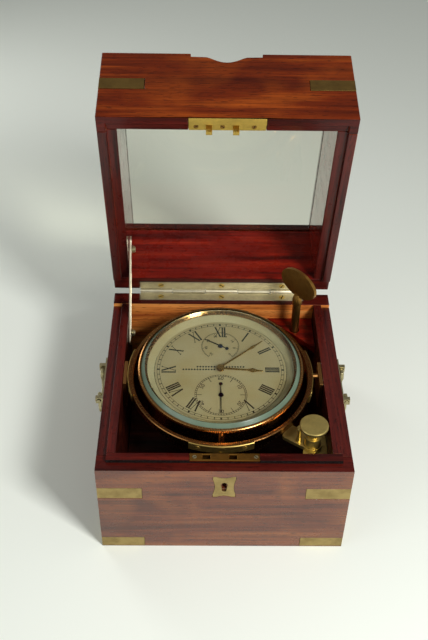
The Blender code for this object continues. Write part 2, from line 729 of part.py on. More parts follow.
# ---- winding key -------------------------------------------------------------------------------------------------
def key_shelf():
    """A triangular shelf in the back right corner with a hole for the key."""
    x, y = IN_X - GAP, IN_Y - GAP
    points = [(x, y), (x - SHELF_SIDE, y), (x, y - SHELF_SIDE)]
    shelf = outline("key_shelf", points, SHELF_THICK, "mahogany", [circle(0.0042, 12, KEY_FOOT.x, KEY_FOOT.y)])
    shelf.location = (0, 0, SHELF_TOP - SHELF_THICK / 2)
    return shelf


def winding_key():
    """An oval flat head on a pipe that stands in the shelf's hole."""
    long, tall = KEY_OVAL
    count = 28
    points = [
        (long * math.cos(2 * math.pi * i / count), tall * math.sin(2 * math.pi * i / count)) for i in range(count)
    ]
    head = outline("winding_key", points, KEY_THICK)
    head.rotation_euler = (math.radians(90), 0, KEY_TURN)
    foot = SHELF_TOP - 0.0100
    head.location = (KEY_FOOT.x, KEY_FOOT.y, KEY_HEAD)
    long_pipe = KEY_HEAD - tall - foot
    pipe = [
        (0.0, long_pipe + 0.0020), (0.0026, long_pipe + 0.0015), (0.0036, long_pipe - 0.0010),
        (0.0042, long_pipe - 0.0035), (0.0042, long_pipe - 0.0080), (0.0034, long_pipe - 0.0095),
        (0.0034, 0.0), (0.0, 0.0),
    ]  # fmt: skip
    join(head, turned("pipe", pipe, steps=14, centre=(KEY_FOOT.x, KEY_FOOT.y, foot)))
    x, y = KEY_FOOT.x, KEY_FOOT.y
    cut(head, rod("square", (x, y, foot - 0.01), (x, y, foot + 0.012), 0.0022, sides=4))
    return head


# ---- bowl --------------------------------------------------------------------------------------------------------
def bowl():
    """The brass bowl: a turned shell with two trunnions and a winding hole in its floor."""
    curve = [
        (
            BOWL_FLOOR_R + (BOWL_R - BOWL_FLOOR_R) * math.cos(math.pi * i / 16),
            BOWL_SIDE + (BOWL_FLOOR - BOWL_SIDE) * math.sin(math.pi * i / 16),
        )
        for i in range(0, 9, 2)
    ]
    outer = [(BOWL_R, BOWL_RIM), *curve, (0.0, BOWL_FLOOR)]
    inner_r = BOWL_R - BOWL_WALL
    inner = [(0.0, BOWL_FLOOR + BOWL_WALL)]
    inner += [(r - BOWL_WALL * 0.8, z + BOWL_WALL * 0.8) for r, z in reversed(curve[1:])]
    inner += [(inner_r, BOWL_SIDE), (inner_r, BOWL_RIM)]
    shell = turned("bowl", outer + inner, steps=32, loop=True)
    for end in (-1, 1):
        start = (0, end * (BOWL_R - 0.0010), 0)
        join(shell, rod("trunnion", start, (0, end * (RING_OUT + 0.0003), 0), TRUNNION, sides=12))
        shoulder_end = (0, end * (RING_IN - 0.0008), -0.0002)
        join(shell, rod("shoulder", (0, end * (BOWL_R - 0.0010), -0.0002), shoulder_end, 0.0026, sides=12))
    hole = (WINDING.x, WINDING.y, BOWL_FLOOR)
    cut(shell, rod("winding_hole", (*hole[:2], BOWL_FLOOR - 0.01), (*hole[:2], BOWL_FLOOR + 0.01), 0.0050))
    return shell


def dust_shutter():
    """A leaf under the bowl that covers the winding hole and swings aside."""
    post = Vector((WINDING.x + 0.013, WINDING.y - 0.010, 0))
    reach = (WINDING - post).xy
    length = reach.length
    count = 10
    wide, narrow = 0.0068, 0.0040
    points = [(length + wide * math.sin(math.pi * i / count), wide * math.cos(math.pi * i / count))
              for i in range(count + 1)]
    points += [(-narrow * math.sin(math.pi * i / count), -narrow * math.cos(math.pi * i / count))
               for i in range(count + 1)]
    leaf = outline("dust_shutter", points, 0.0008)
    leaf.rotation_euler = (0, 0, math.atan2(reach.y, reach.x))
    leaf.location = (post.x, post.y, BOWL_FLOOR - GAP - 0.0004)
    return leaf


def bezel_and_glass():
    """The bezel, the thick crystal with its bevelled edge, and the slope down to the dial."""
    low = BOWL_RIM + GAP
    seat, top = low + 0.0013, low + 0.0037
    bezel_profile = [
        (BEZEL_R - 0.0018, top), (BEZEL_R - 0.0006, top - 0.0004), (BEZEL_R, top - 0.0012), (BEZEL_R, low + 0.0005),
        (BEZEL_R - 0.0006, low), (BOWL_R - 0.0030, low), (BOWL_R - 0.0030, seat), (BEZEL_R - 0.0022, seat),
        (BEZEL_R - 0.0022, top),
    ]  # fmt: skip
    bezel = turned("bezel", bezel_profile, steps=48, loop=True)
    glass_r, under = BEZEL_R - 0.0025, seat + GAP
    glass_profile = [
        (0.0, under + 0.0046), (glass_r - 0.0030, under + 0.0042), (glass_r, under + 0.0012), (glass_r, under),
        (0.0, under),
    ]  # fmt: skip
    crystal = turned("crystal", glass_profile, "glass", steps=48)
    edge, dial_top = BOWL_R - BOWL_WALL - 0.0008, MOVEMENT_UP + DIAL_Z
    sight_profile = [
        (edge, BOWL_RIM - 0.0004), (edge, BOWL_RIM - 0.0014), (DIAL_R + GAP, dial_top - 0.0010),
        (DIAL_R + GAP, dial_top),
    ]  # fmt: skip
    sight = turned("sight_ring", sight_profile, "silvered", steps=40, loop=True)
    return bezel, crystal, sight


def dial():
    """The silvered dial plate, with holes for the three hand arbors."""
    disc = turned(
        "dial",
        [(0.0, DIAL_Z), (DIAL_R, DIAL_Z), (DIAL_R, DIAL_Z - 0.0010), (0.0, DIAL_Z - 0.0010)],
        "silvered",
        steps=40,
    )
    holes(disc, DIAL_Z - 0.01, DIAL_Z + 0.01)
    return disc


def holes(plate, low, high):
    for place in (Vector((0, 0, 0)), SUB_SECONDS, SUB_UPDOWN):
        cut(plate, rod("arbor_hole", (place.x, place.y, low), (place.x, place.y, high), 0.0022, sides=10))


# ---- movement ----------------------------------------------------------------------------------------------------
def plates():
    """The pillar plate with its four pillars, and the top plate."""
    low, high = PILLAR_PLATE
    plate = turned(
        "pillar_plate", [(0.0, high), (PLATE_R, high), (PLATE_R, low), (0.0, low)], "brass", steps=32
    )
    holes(plate, low - 0.01, high + 0.01)
    for degrees in PILLARS:
        angle = math.radians(degrees)
        x, y = (PLATE_R - 0.0045) * math.cos(angle), (PLATE_R - 0.0045) * math.sin(angle)
        middle, foot = (low + TOP_PLATE[1]) / 2, TOP_PLATE[1] + GAP
        profile = [
            (0.0, low + 0.001), (0.0022, low + 0.001), (0.0018, low - 0.004), (0.0024, middle),
            (0.0018, foot + 0.004), (0.0026, foot), (0.0, foot),
        ]  # fmt: skip
        join(plate, turned("pillar", profile, steps=8, centre=(x, y, 0)))
    low, high = TOP_PLATE
    top = turned("top_plate", [(0.0, high), (PLATE_R, high), (PLATE_R, low), (0.0, low)], "brass", steps=32)
    cut(top, rod("winding_hole", (*WINDING.xy, low - 0.01), (*WINDING.xy, high + 0.01), 0.0045))
    return plate, top


def arbor(name, place, top, wheel, pinion, foot=TOP_PLATE[1] + GAP, finish="brass", steps=16):
    """A wheel on its arbor with a pinion: wheel and pinion are (radius, height of the middle, thickness)."""
    pivot_r = 0.0009
    rings = sorted((wheel, pinion), key=lambda ring: -ring[1])
    profile = [(0.0, top), (pivot_r, top)]
    for radius, z, thick in rings:
        profile += [(pivot_r, z + thick / 2), (radius, z + thick / 2), (radius, z - thick / 2),
                    (pivot_r, z - thick / 2)]
    profile += [(pivot_r, foot), (0.0, foot)]
    return turned(name, profile, finish, steps, place)


def train():
    """The going train and the winding pieces, as turned blanks at their pitch circles."""
    centre = arbor("centre_wheel", (0, 0, 0), -0.0037, (0.0130, -0.0146, 0.0012), (0.0026, -0.0210, 0.0050))
    third = arbor("third_wheel", THIRD, PILLAR_PLATE[0] - GAP, (0.0118, -0.0190, 0.0010),
                  (0.0018, -0.0146, 0.0030), steps=14)  # fmt: skip
    fourth = arbor("fourth_wheel", SUB_SECONDS, -0.0061, (0.0096, -0.0240, 0.0010),
                   (0.0019, -0.0190, 0.0030), steps=14)  # fmt: skip
    escape = arbor("escape_wheel", ESCAPE, PILLAR_PLATE[0] - GAP, (0.0065, -0.0280, 0.0010),
                   (0.0016, -0.0240, 0.0026), steps=14)  # fmt: skip
    steps = 7
    groove = []
    for i in range(steps):
        z = -0.0140 - 0.0018 * i
        radius = 0.0080 + 0.0008 * i
        groove += [(radius + 0.0006, z), (radius, z - 0.0009)]
    profile = [(0.0, PILLAR_PLATE[0] - GAP), (0.0014, PILLAR_PLATE[0] - GAP), (0.0014, -0.0134), *groove,
               (0.0150, -0.0272), (0.0150, -0.0284), (0.0016, -0.0284), (0.0016, -0.0400), (0.0, -0.0400)]
    fusee = turned("fusee", profile, "brass", 16, WINDING)
    barrel = arbor("barrel", BARREL, PILLAR_PLATE[0] - GAP, (0.0165, -0.0215, 0.0130), (0.0030, -0.0298, 0.0010),
                   steps=20)  # fmt: skip
    return centre, third, fourth, escape, fusee, barrel


def balance():
    """The balance under the top plate: a split rim on a bar, with two screwed weights."""
    rim_r, z = 0.0140, -0.0370
    ring = turned(
        "balance",
        [(rim_r, z + 0.0014), (rim_r, z - 0.0014), (rim_r - 0.0016, z - 0.0014), (rim_r - 0.0016, z + 0.0014)],
        "brass",
        steps=32,
        centre=(0, 0, 0),
        loop=True,
    )
    join(ring, box("bar", (-rim_r + 0.0006, -0.0012, z - 0.0009), (rim_r - 0.0006, 0.0012, z + 0.0009)))
    join(ring, rod("staff", (0, 0, TOP_PLATE[0] - GAP), (0, 0, -0.0405), 0.0009, sides=10))
    for side in (-1, 1):
        gap_low, gap_high = sorted((side * (rim_r - 0.004), side * (rim_r + 0.004)))
        slot = box("slot", (side * 0.0042 - 0.0004, gap_low, z - 0.01), (side * 0.0042 + 0.0004, gap_high, z + 0.01))
        cut(ring, slot)
    ring.location = BALANCE
    return ring


def balance_cock():
    """The bridge that holds the balance staff's lower pivot."""
    foot = Vector((-0.0050, -0.0200, 0))
    low, high = -0.0423, -0.0408
    run = BALANCE - foot
    half, count = 0.0030, 8
    near = [(-half * math.sin(math.pi * i / count), half * math.cos(math.pi * i / count)) for i in range(count + 1)]
    far = [(run.length - x, -y) for x, y in near]
    arm = outline("balance_cock", near + far, high - low)
    arm.rotation_euler = (0, 0, math.atan2(run.y, run.x))
    arm.location = (foot.x, foot.y, (low + high) / 2)
    return join(arm, rod("foot", (foot.x, foot.y, TOP_PLATE[0] - GAP), (foot.x, foot.y, low + 0.0005), 0.0026))


def hands():
    """Spade hour hand and slender minute hand in gilt, and blued hands on the two small dials."""
    hour = hand("hour_hand", 0.0330, 0.0008, -0.0043, "gilt", spade=0.0250, hub=0.0034, hole=0.0016,
                wide=0.0022)  # fmt: skip
    minute = hand("minute_hand", 0.0440, 0.0007, -0.0031, "gilt", spade=0.0330, hub=0.0028, hole=0.0,
                  wide=0.0013)  # fmt: skip
    seconds = hand("seconds_hand", 0.0185, 0.0004, -0.0055, "blued", spade=0.0, hub=0.0016, hole=0.0, tail=0.0105)
    updown = hand("updown_hand", 0.0140, 0.0005, -0.0055, "blued", spade=0.0, hub=0.0018, hole=0.0, tail=0.0060)
    return hour, minute, seconds, updown


def hand(name, length, half, level, finish, spade, hub, hole, tail=0.0, wide=0.0):
    """A flat hand along +Y from its hub. spade is how far out its head is widest, and wide half its width."""
    thick = 0.0005
    side = [(half, hub * 0.7)]
    if spade:
        side += [(half * 0.8, spade - 0.0040), (wide, spade), (half, spade + 0.0038)]
    side += [(half * 0.4, length)]
    points = side + [(-x, y) for x, y in reversed(side)]
    round_hub = [
        (hub * math.cos(a), hub * math.sin(a)) for a in [math.radians(125 + 290 * i / 12) for i in range(13)]
    ]
    if tail:
        bulb = 0.0015
        around = [(-half, -hub)] + [
            (bulb * math.cos(a), -tail + bulb * math.sin(a)) for a in [math.radians(100 + 340 * i / 10) for i in
                                                                       range(11)]
        ] + [(half, -hub)]  # fmt: skip
        left = [p for p in round_hub if p[0] < -half * 1.2]
        right = [p for p in round_hub if p[0] > half * 1.2]
        points += left + around + right
    else:
        points += round_hub
    openings = [circle(hole, 8)] if hole else []
    piece = outline(name, points, thick, finish, openings)
    piece.location.z = level
    return piece


# ---- assembly ----------------------------------------------------------------------------------------------------
def clear_scene():
    for obj in list(bpy.data.objects):
        bpy.data.objects.remove(obj)


def build_box():
    """The base with its fittings, and the open lid on its hinge."""
    base = base_boards()
    lid = lid_boards()
    panes = glazing()
    for levels, tag in ((UPPER_STRAP, "base_upper"), (LOWER_STRAP, "base_lower")):
        straps(base, levels, tag)
    lid_straps = straps(lid, LID_STRAP, "lid")
    lid_leaf = hinge(base[1], lid[1])[1]
    lock(base[0])
    lock_bolt()
    plate = link_plate(lid[0])
    escutcheon(base[0])
    for side, name in ((-1, "left"), (1, "right")):
        handle(side, name)
    _, (lid_screw, _) = stay_and_screws()
    swing = pivot("lid_pivot", HINGE, rotation=(-LID_OPEN, 0, 0))
    hang(swing, HINGE, *lid, *panes, *lid_straps, lid_leaf, plate, lid_screw)


def build_gimbal():
    """Brackets, ring, lock and key around the bowl."""
    for side, name in ((-1, "left"), (1, "right")):
        bracket(side, name)
    ring_pivot = pivot("ring_pivot", GIMBAL, rotation=(RING_TIP, 0, 0))
    gimbal_ring().parent = ring_pivot
    gimbal_lock()
    key_shelf()
    winding_key()
    return pivot("bowl_pivot", (0, 0, 0), ring_pivot)


def build_bowl(bowl_pivot):
    """The bowl, its dial and hands, and the movement between its plates."""
    for piece in (bowl(), dust_shutter(), *bezel_and_glass()):
        piece.parent = bowl_pivot
    pieces = [dial(), *plates(), *train(), balance(), balance_cock()]
    for piece in hands():
        place = {"seconds_hand": SUB_SECONDS, "updown_hand": SUB_UPDOWN}.get(piece.name, Vector())
        piece.location.x, piece.location.y = place.x, place.y
        piece.rotation_euler = (0, 0, -math.radians(HANDS[piece.name]))
        pieces.append(piece)
    level = pivot("movement_level", (0, 0, MOVEMENT_UP), bowl_pivot)
    for piece in pieces:
        piece.parent = level


def smooth():
    """Round surfaces are shaded smooth, and edges sharper than 35 degrees stay crisp."""
    for obj in parts.objects:
        if obj.type == "MESH":
            obj.data.shade_smooth()
            obj.data.set_sharp_from_angle(angle=math.radians(35))


def main():
    global parts, cutters
    clear_scene()
    parts = collection("marine_chronometer")
    cutters = collection("cutters")
    build_box()
    build_bowl(build_gimbal())
    smooth()


main()
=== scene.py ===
"""A boxed marine chronometer: a brass bowl in a gimbal ring, in a mahogany box with a glazed lid.

The joints, sizes and collision come from the packed frame. This file gives every visible piece its finish
and its fine shape, and sets the stage round it. Lengths are in metres.
"""

import json
import math

import bmesh
import bpy
from bpy.props import FloatProperty, FloatVectorProperty, IntProperty, PointerProperty
from mathutils import Matrix, Vector

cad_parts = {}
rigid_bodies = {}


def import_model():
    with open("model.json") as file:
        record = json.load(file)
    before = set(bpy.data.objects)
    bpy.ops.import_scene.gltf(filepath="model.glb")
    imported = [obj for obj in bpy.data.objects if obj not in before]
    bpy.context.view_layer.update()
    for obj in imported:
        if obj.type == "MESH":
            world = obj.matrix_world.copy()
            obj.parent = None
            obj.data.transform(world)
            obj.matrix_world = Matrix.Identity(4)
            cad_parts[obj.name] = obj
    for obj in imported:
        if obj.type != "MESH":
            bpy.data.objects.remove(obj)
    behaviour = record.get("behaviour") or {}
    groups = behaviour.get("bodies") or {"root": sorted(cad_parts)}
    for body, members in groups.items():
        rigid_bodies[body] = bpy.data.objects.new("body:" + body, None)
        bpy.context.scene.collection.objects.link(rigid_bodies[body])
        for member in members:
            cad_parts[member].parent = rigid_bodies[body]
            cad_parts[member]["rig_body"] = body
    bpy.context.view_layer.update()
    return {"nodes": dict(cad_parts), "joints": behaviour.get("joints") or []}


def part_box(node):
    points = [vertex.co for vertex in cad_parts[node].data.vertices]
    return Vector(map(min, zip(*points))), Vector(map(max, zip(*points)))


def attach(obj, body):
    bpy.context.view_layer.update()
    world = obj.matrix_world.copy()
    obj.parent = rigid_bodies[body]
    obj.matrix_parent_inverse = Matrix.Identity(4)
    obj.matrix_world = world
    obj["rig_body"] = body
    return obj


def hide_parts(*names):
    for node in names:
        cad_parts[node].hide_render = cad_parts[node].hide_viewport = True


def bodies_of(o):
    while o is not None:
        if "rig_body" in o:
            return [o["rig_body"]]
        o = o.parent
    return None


bl_info = {
    "name": "Marine Chronometer",
    "version": (1, 0, 0),
    "blender": (4, 5, 0),
    "location": "3D View > Sidebar > Chronometer",
    "description": "Finishes and fine shapes of a boxed marine chronometer, round its packed frame",
    "category": "Object",
}

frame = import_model()
JOINTS = {joint["name"]: joint for joint in frame["joints"]}

# Places that the other pieces are measured from. HUNG takes pieces of the ring and the bowl, which are shaped upright
# about the gimbal's centre, to where they hang; the bowl's rim and the dial's face are heights over that centre.
HINGE = Vector(JOINTS["lid_hinge"]["pos_m"])
LID_OPEN = math.radians(JOINTS["lid_hinge"]["range_deg"][1])
GIMBAL = Vector(JOINTS["gimbal_ring_tilt"]["pos_m"])
UPRIGHT = Vector(JOINTS["updown_turn"]["axis"])
HUNG = Matrix.Translation(GIMBAL) @ Matrix.Rotation(math.atan2(-UPRIGHT.y, UPRIGHT.z), 4, "X")
SECONDS = HUNG.inverted() @ Vector(JOINTS["seconds_spin"]["pos_m"])
UPDOWN = HUNG.inverted() @ Vector(JOINTS["updown_turn"]["pos_m"])
LOCK_POST = Vector(JOINTS["lock_knob_turn"]["pos_m"])
HALF_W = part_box("base_front")[1].x
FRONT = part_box("base_front")[0].y
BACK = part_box("base_back")[1].y
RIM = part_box("base_back")[1].z
BOWL_RIM = 0.0082
DIAL_TOP = 0.0050  # both over the gimbal's centre
OPENED = Matrix.Translation(HINGE) @ Matrix.Rotation(-LID_OPEN, 4, "X") @ Matrix.Translation(-HINGE)
TURN = 2 * math.pi
GAP = 0.0003  # between pieces that touch
LID_RIM = RIM + GAP  # the lid's rim when it is shut
FLUSH = 0.00013  # how far a flush screw's head stands up


# ---- settings ----
def hex_rgb(code):
    """An sRGB hex colour as linear red, green and blue."""
    parts = [int(code[i : i + 2], 16) / 255 for i in (1, 3, 5)]
    return tuple(c / 12.92 if c <= 0.04045 else ((c + 0.055) / 1.055) ** 2.4 for c in parts)


def colour(name, text, code):
    """A colour setting that starts from an sRGB hex value."""
    return FloatVectorProperty(
        name=name, description=text, subtype="COLOR", size=3, min=0, max=1, default=hex_rgb(code)
    )


def length(name, text, size):
    """A length setting, in metres."""
    return FloatProperty(name=name, description=text, default=size, unit="LENGTH")


def power(name, text, watts):
    """A lamp's power setting."""
    return FloatProperty(name=name, description=text, default=watts, unit="POWER")


class WoodSettings(bpy.types.PropertyGroup):
    """Colours and figure of the mahogany."""

    # This colour is painted shade: the near-black of the upright faces of the rims' steps and of the screws' slot
    # floors, where shadow falls.
    groove: colour("Groove", "Old wax and dirt in the steps of the rims", "#120806")
    band: length("Band", "Width of one band of figure", 0.010)
    pore: length("Pore", "Width of one pore streak, coarser than real so that it shows", 0.0008)
    edge: length("Edge", "Rounding of the boards' edges", 0.0006)


# Each part of the wood: its dark bands, its body colour and its light bands.
TONES = ("dark", "mid", "light")
WOOD_FAMILIES = {
    "lid": ("#461407", "#6e2608", "#a04a14"),
    "base": ("#38170f", "#66301a", "#8a4e26"),
    "inner": ("#300504", "#6c1208", "#8a220e"),
    "well": ("#160604", "#34100a", "#54200e"),
    # The back family is painted light: the well's dark wood made a bright, lit orange for the inside of the back
    # board.
    "back": ("#9a4820", "#cc7634", "#e49a50"),
    "rim": ("#1e0504", "#4c120c", "#5c1a10"),
}
for family, codes in WOOD_FAMILIES.items():
    for tone, code in zip(TONES, codes):
        WoodSettings.__annotations__[f"{family}_{tone}"] = colour(
            f"{family} {tone}".capitalize(), f"The {tone} colour of the {family} boards", code
        )


class MetalSettings(bpy.types.PropertyGroup):
    """Colours of the metals."""

    strap: colour("Straps", "Old inlaid brass", "#b09a66")
    lid_strap: colour("Lid straps", "Darker inlaid brass of the lid", "#97773f")
    fitting: colour("Fittings", "Handled brass of the hinge, stay and lock plates", "#c6bb92")
    ring: colour("Ring", "Lacquered brass of the ring and bowl", "#a07040")
    bezel: colour("Bezel", "Polished brass of the bezel", "#a87844")
    knob: colour("Knob", "Brass of the lock knob", "#dcc478")
    key: colour("Key", "Brown brass of the winding key", "#a47a3c")
    tarnish: colour("Tarnish", "Brown that has settled on the brass", "#5c4424")
    gilt: colour("Gilt", "Gold of the hands", "#c8963e")
    steel: colour("Steel", "Polished steel", "#9a9a98")
    blued: colour("Blued steel", "Heat-blued steel of the small hands", "#101a3c")
    pale: colour("Pale brass", "Worn satin brass of the hinge and stay", "#e2dabc")
    link: colour("Link plate", "Bright brass of the lid's hooked plate", "#d8b85e")
    lock: colour("Lock plate", "Brown brass of the lock's plate", "#96682c")
    # The pads' colour is painted light: brighter than the ring's brass, to stand in for their lit faces.
    pad: colour("Pads", "Bright brass of the ring's pads", "#c6a85e")
    edge: length("Edge", "Rounding of metal edges", 0.00022)


class DialSettings(bpy.types.PropertyGroup):
    """The dial's colours and its circles."""

    silver: colour("Silver", "Silvered brass of the dial", "#8a775a")
    flange: colour("Flange", "Silvered slope round the dial", "#8c7c60")
    wax: colour("Wax", "Black wax in the engraving", "#050403")
    glass: colour("Glass edge", "Green of the crystal's ground edge", "#7c9078")
    hour_ring: length("Hour ring", "Radius at the middle of the hour numerals", 0.0404)
    minute_ring: length("Minute ring", "Middle radius of the minute track", 0.0485)
    numeral: length("Numeral", "Height of the hour numerals", 0.0106)
    milling: IntProperty(name="Milling", description="Teeth round the bezel's milled edge", default=260, min=24)


class StageSettings(bpy.types.PropertyGroup):
    """Floor, lights and camera."""

    floor: colour("Floor", "Pale matt floor", "#f0f4ea")
    key: power("Key light", "Power of the main light", 10.5)
    fill: power("Fill light", "Power of the light from the left", 1.2)
    top: power("Back light", "Power of the light from behind", 1.6)
    sky: FloatProperty(name="Room light", description="Strength of the even light all round", default=0.26, min=0)
    lens: FloatProperty(name="Lens", description="Focal length in millimetres", default=51.1, min=1)


def wood():
    return bpy.context.scene.chronometer_wood


def metal():
    return bpy.context.scene.chronometer_metal


def face():
    return bpy.context.scene.chronometer_dial


def studio():
    return bpy.context.scene.chronometer_stage


# ---- materials ----
def add(tree, kind, settings=(), inputs=(), links=(), stops=()):
    """Adds a shader node with its settings, input values, links and colour stops."""
    node = tree.nodes.new("ShaderNode" + kind)
    for name, value in dict(settings).items():
        setattr(node, name, value)
    for name, value in dict(inputs).items():
        node.inputs[name].default_value = value
    for name, source in dict(links).items():
        tree.links.new(source, node.inputs[name])
    for index, (place, rgb) in enumerate(stops):
        elements = node.color_ramp.elements
        element = elements[index] if index < len(elements) else elements.new(place)
        element.position = place
        element.color = (*rgb, 1.0)
    return node


def object_place(tree):
    """The place on the object, in metres, so that a finish keeps its scale and moves with its piece."""
    return add(tree, "TexCoord").outputs["Object"]


def noise(tree, place, scale, detail, roughness=0.5, distortion=0.0):
    """The value of a noise at a place."""
    values = {"Scale": scale, "Detail": detail, "Roughness": roughness, "Distortion": distortion}
    return add(tree, "TexNoise", inputs=values, links={"Vector": place}).outputs[0]


def ranged(tree, value, low, high, new_low=0.0, new_high=1.0):
    """A value between low and high, taken to a new range."""
    values = {"From Min": low, "From Max": high, "To Min": new_low, "To Max": new_high}
    return add(tree, "MapRange", inputs=values, links={"Value": value}).outputs[0]


def ramp(tree, value, *stops):
    """The colour that a value has between colour stops."""
    return add(tree, "ValToRGB", links={"Fac": value}, stops=stops).outputs[0]


def mix(tree, amount, first, second, blend="MIX"):
    """Two colours mixed; each, and the amount, is a fixed value or a socket."""
    ends = {0: amount, 6: first, 7: second}
    sockets = {key: end for key, end in ends.items() if isinstance(end, bpy.types.NodeSocket)}
    fixed = {key: end for key, end in ends.items() if key not in sockets}
    return add(tree, "Mix", {"data_type": "RGBA", "blend_type": blend}, fixed, sockets).outputs[2]


def bumped(tree, shader, height, strength, distance, invert=False):
    """Gives the shader a fine relief from a height."""
    values = {"Strength": strength, "Distance": distance}
    bump = add(tree, "Bump", {"invert": invert}, values, {"Height": height})
    tree.links.new(bump.outputs[0], shader.inputs["Normal"])


def new_finish(name, rgb, **values):
    """A material with one Principled shader, its plain values set on its own sockets."""
    made = bpy.data.materials.new(name)
    made.use_nodes = True
    shader = made.node_tree.nodes["Principled BSDF"]
    shader.inputs["Base Color"].default_value = (*rgb, 1.0)
    for key, value in values.items():
        shader.inputs[key.replace("_", " ").title().replace("Ior", "IOR")].default_value = value
    made.diffuse_color = (*rgb, 1.0)
    return made, made.node_tree, shader


def mahogany(name, dark, mid, light, along="X", tilt=0.0, gloss=0.22, coat=0.25, body=0.15, patch=0.35, seed=0.0):
    """Mahogany, French polished: bands of ribbon figure, short dark pores that sink a little under the shellac,
    and a deep gloss with faint scuffs."""
    made, tree, shader = new_finish(name, mid, coat_weight=coat, coat_roughness=gloss * 0.5)
    shader.inputs["Specular IOR Level"].default_value = body
    band, pore = wood().band, wood().pore
    settle = {"Rotation": (tilt, 0, 0), "Location": (seed, seed * 0.7, seed * 1.3)}
    level = add(tree, "Mapping", inputs=settle, links={"Vector": object_place(tree)}).outputs[0]

    def stretched(width, run):
        across, long = 1 / width, 1 / run
        scale = {"X": (long, across, across), "Y": (across, long, across)}[along]
        return add(tree, "Mapping", inputs={"Scale": scale}, links={"Vector": level}).outputs[0]

    wave = noise(tree, stretched(band, band * 14), 1.0, 3.0, 0.55, 0.3)
    figure = ramp(tree, wave, (0.30, dark), (0.52, mid), (0.74, light))
    blotch = ranged(tree, noise(tree, level, 24.0, 2.0), 0.52, 0.72, 0.0, patch)
    patched = mix(tree, blotch, figure, (*light, 1.0))
    line = noise(tree, stretched(pore * 2.2, pore * 90), 1.0, 2.0, 0.7)
    lined = mix(tree, 1.0, patched, ranged(tree, line, 0.3, 0.7, 0.66, 1.22), "MULTIPLY")
    pores = ranged(tree, noise(tree, stretched(pore, pore * 9), 1.0, 1.0), 0.60, 0.68)
    depth = add(tree, "Math", {"operation": "MULTIPLY"}, {1: 0.55}, {0: pores}).outputs[0]
    pored = mix(tree, depth, lined, (*[c * 0.35 for c in dark], 1.0))
    tree.links.new(pored, shader.inputs["Base Color"])
    scuff = noise(tree, level, 90.0, 4.0, 0.7)
    tree.links.new(ranged(tree, scuff, 0.35, 0.75, gloss, gloss + 0.25), shader.inputs["Roughness"])
    bumped(tree, shader, pores, 0.25, 0.0002, True)
    return made


def brass(name, rgb, rough=0.26, tarnish=0.4, scratch=0.10, along=(1.0, 1.0, 1.0), patch=0.012):
    """Old brass, once polished and lacquered: brown tarnish in soft patches, and fine scratches in its gloss."""
    made, tree, shader = new_finish(name, rgb, metallic=1.0)
    place = object_place(tree)
    cloud = noise(tree, place, 1 / patch, 5.0, 0.65)
    amount = ranged(tree, cloud, 0.42, 0.72, 0.0, tarnish)
    toned = mix(tree, amount, (*rgb, 1.0), (*metal().tarnish, 1.0))
    tree.links.new(toned, shader.inputs["Base Color"])
    stroke = add(tree, "Mapping", inputs={"Scale": tuple(a * 900 for a in along)}, links={"Vector": place})
    lines = noise(tree, stroke.outputs[0], 1.0, 2.0)
    both = add(tree, "Math", {"operation": "MULTIPLY_ADD"}, {1: 0.5}, {0: cloud, 2: lines}).outputs[0]
    tree.links.new(ranged(tree, both, 0.45, 1.0, rough, rough + 0.2), shader.inputs["Roughness"])
    bumped(tree, shader, lines, scratch, 0.0001)
    return made


def silvered(name, rgb, rough=0.48):
    """Brass rubbed with silver salts: a matt warm grey with a fine even grain and faint yellowing."""
    made, tree, shader = new_finish(name, rgb, metallic=0.2)
    place = object_place(tree)
    warm = tuple(c * f for c, f in zip(rgb, (0.92, 0.86, 0.72)))
    toned = ramp(tree, noise(tree, place, 45.0, 4.0), (0.38, rgb), (0.70, warm))
    tree.links.new(toned, shader.inputs["Base Color"])
    grain = noise(tree, place, 2600.0, 2.0)
    tree.links.new(ranged(tree, grain, 0.0, 1.0, rough - 0.06, rough + 0.10), shader.inputs["Roughness"])
    bumped(tree, shader, grain, 0.06, 0.00005)
    return made


def worked_metal(name, rgb, rough):
    """Hard polished metal, such as steel or gilt brass, with a slight unevenness in its gloss."""
    made, tree, shader = new_finish(name, rgb, metallic=1.0)
    grain = noise(tree, object_place(tree), 700.0, 2.0)
    tree.links.new(ranged(tree, grain, 0.0, 1.0, rough * 0.7, rough * 1.5), shader.inputs["Roughness"])
    toned = ramp(tree, grain, (0.3, tuple(c * 0.75 for c in rgb)), (0.7, rgb))
    tree.links.new(toned, shader.inputs["Base Color"])
    return made


def dark_fill(name, rgb):
    """Engraver's wax in the dial, and painted shade on the upright faces of the rims' steps and on the floors of
    screw slots: matt and dark, with a few paler worn places.
    """
    made, tree, shader = new_finish(name, rgb, roughness=0.8)
    shader.inputs["Specular IOR Level"].default_value = 0.1
    wear = noise(tree, object_place(tree), 900.0, 3.0)
    toned = ramp(tree, wear, (0.45, rgb), (0.80, tuple(c + 0.02 for c in rgb)))
    tree.links.new(toned, shader.inputs["Base Color"])
    return made


def clear_glass(name, rgb):
    """Soda-lime glass, polished, that lets lamps shine through it."""
    made, tree, shader = new_finish(name, rgb, roughness=0.0, transmission_weight=1.0, ior=1.5)
    light = add(tree, "LightPath").outputs["Is Shadow Ray"]
    through = add(tree, "BsdfTransparent", inputs={"Color": (*rgb, 1.0)})
    mixed = add(tree, "MixShader", links={0: light, 1: shader.outputs[0], 2: through.outputs[0]})
    tree.links.new(mixed.outputs[0], tree.nodes["Material Output"].inputs["Surface"])
    return made


def ground_glass(name, rgb):
    """The crystal's edge, ground and half polished: a milky green that shows how thick the glass is."""
    made, tree, shader = new_finish(name, rgb, roughness=0.2, transmission_weight=0.3, ior=1.5, coat_weight=0.15)
    cloud = noise(tree, object_place(tree), 60.0, 2.0)
    toned = ramp(tree, cloud, (0.35, tuple(c * 0.8 for c in rgb)), (0.65, rgb))
    tree.links.new(toned, shader.inputs["Base Color"])
    return made


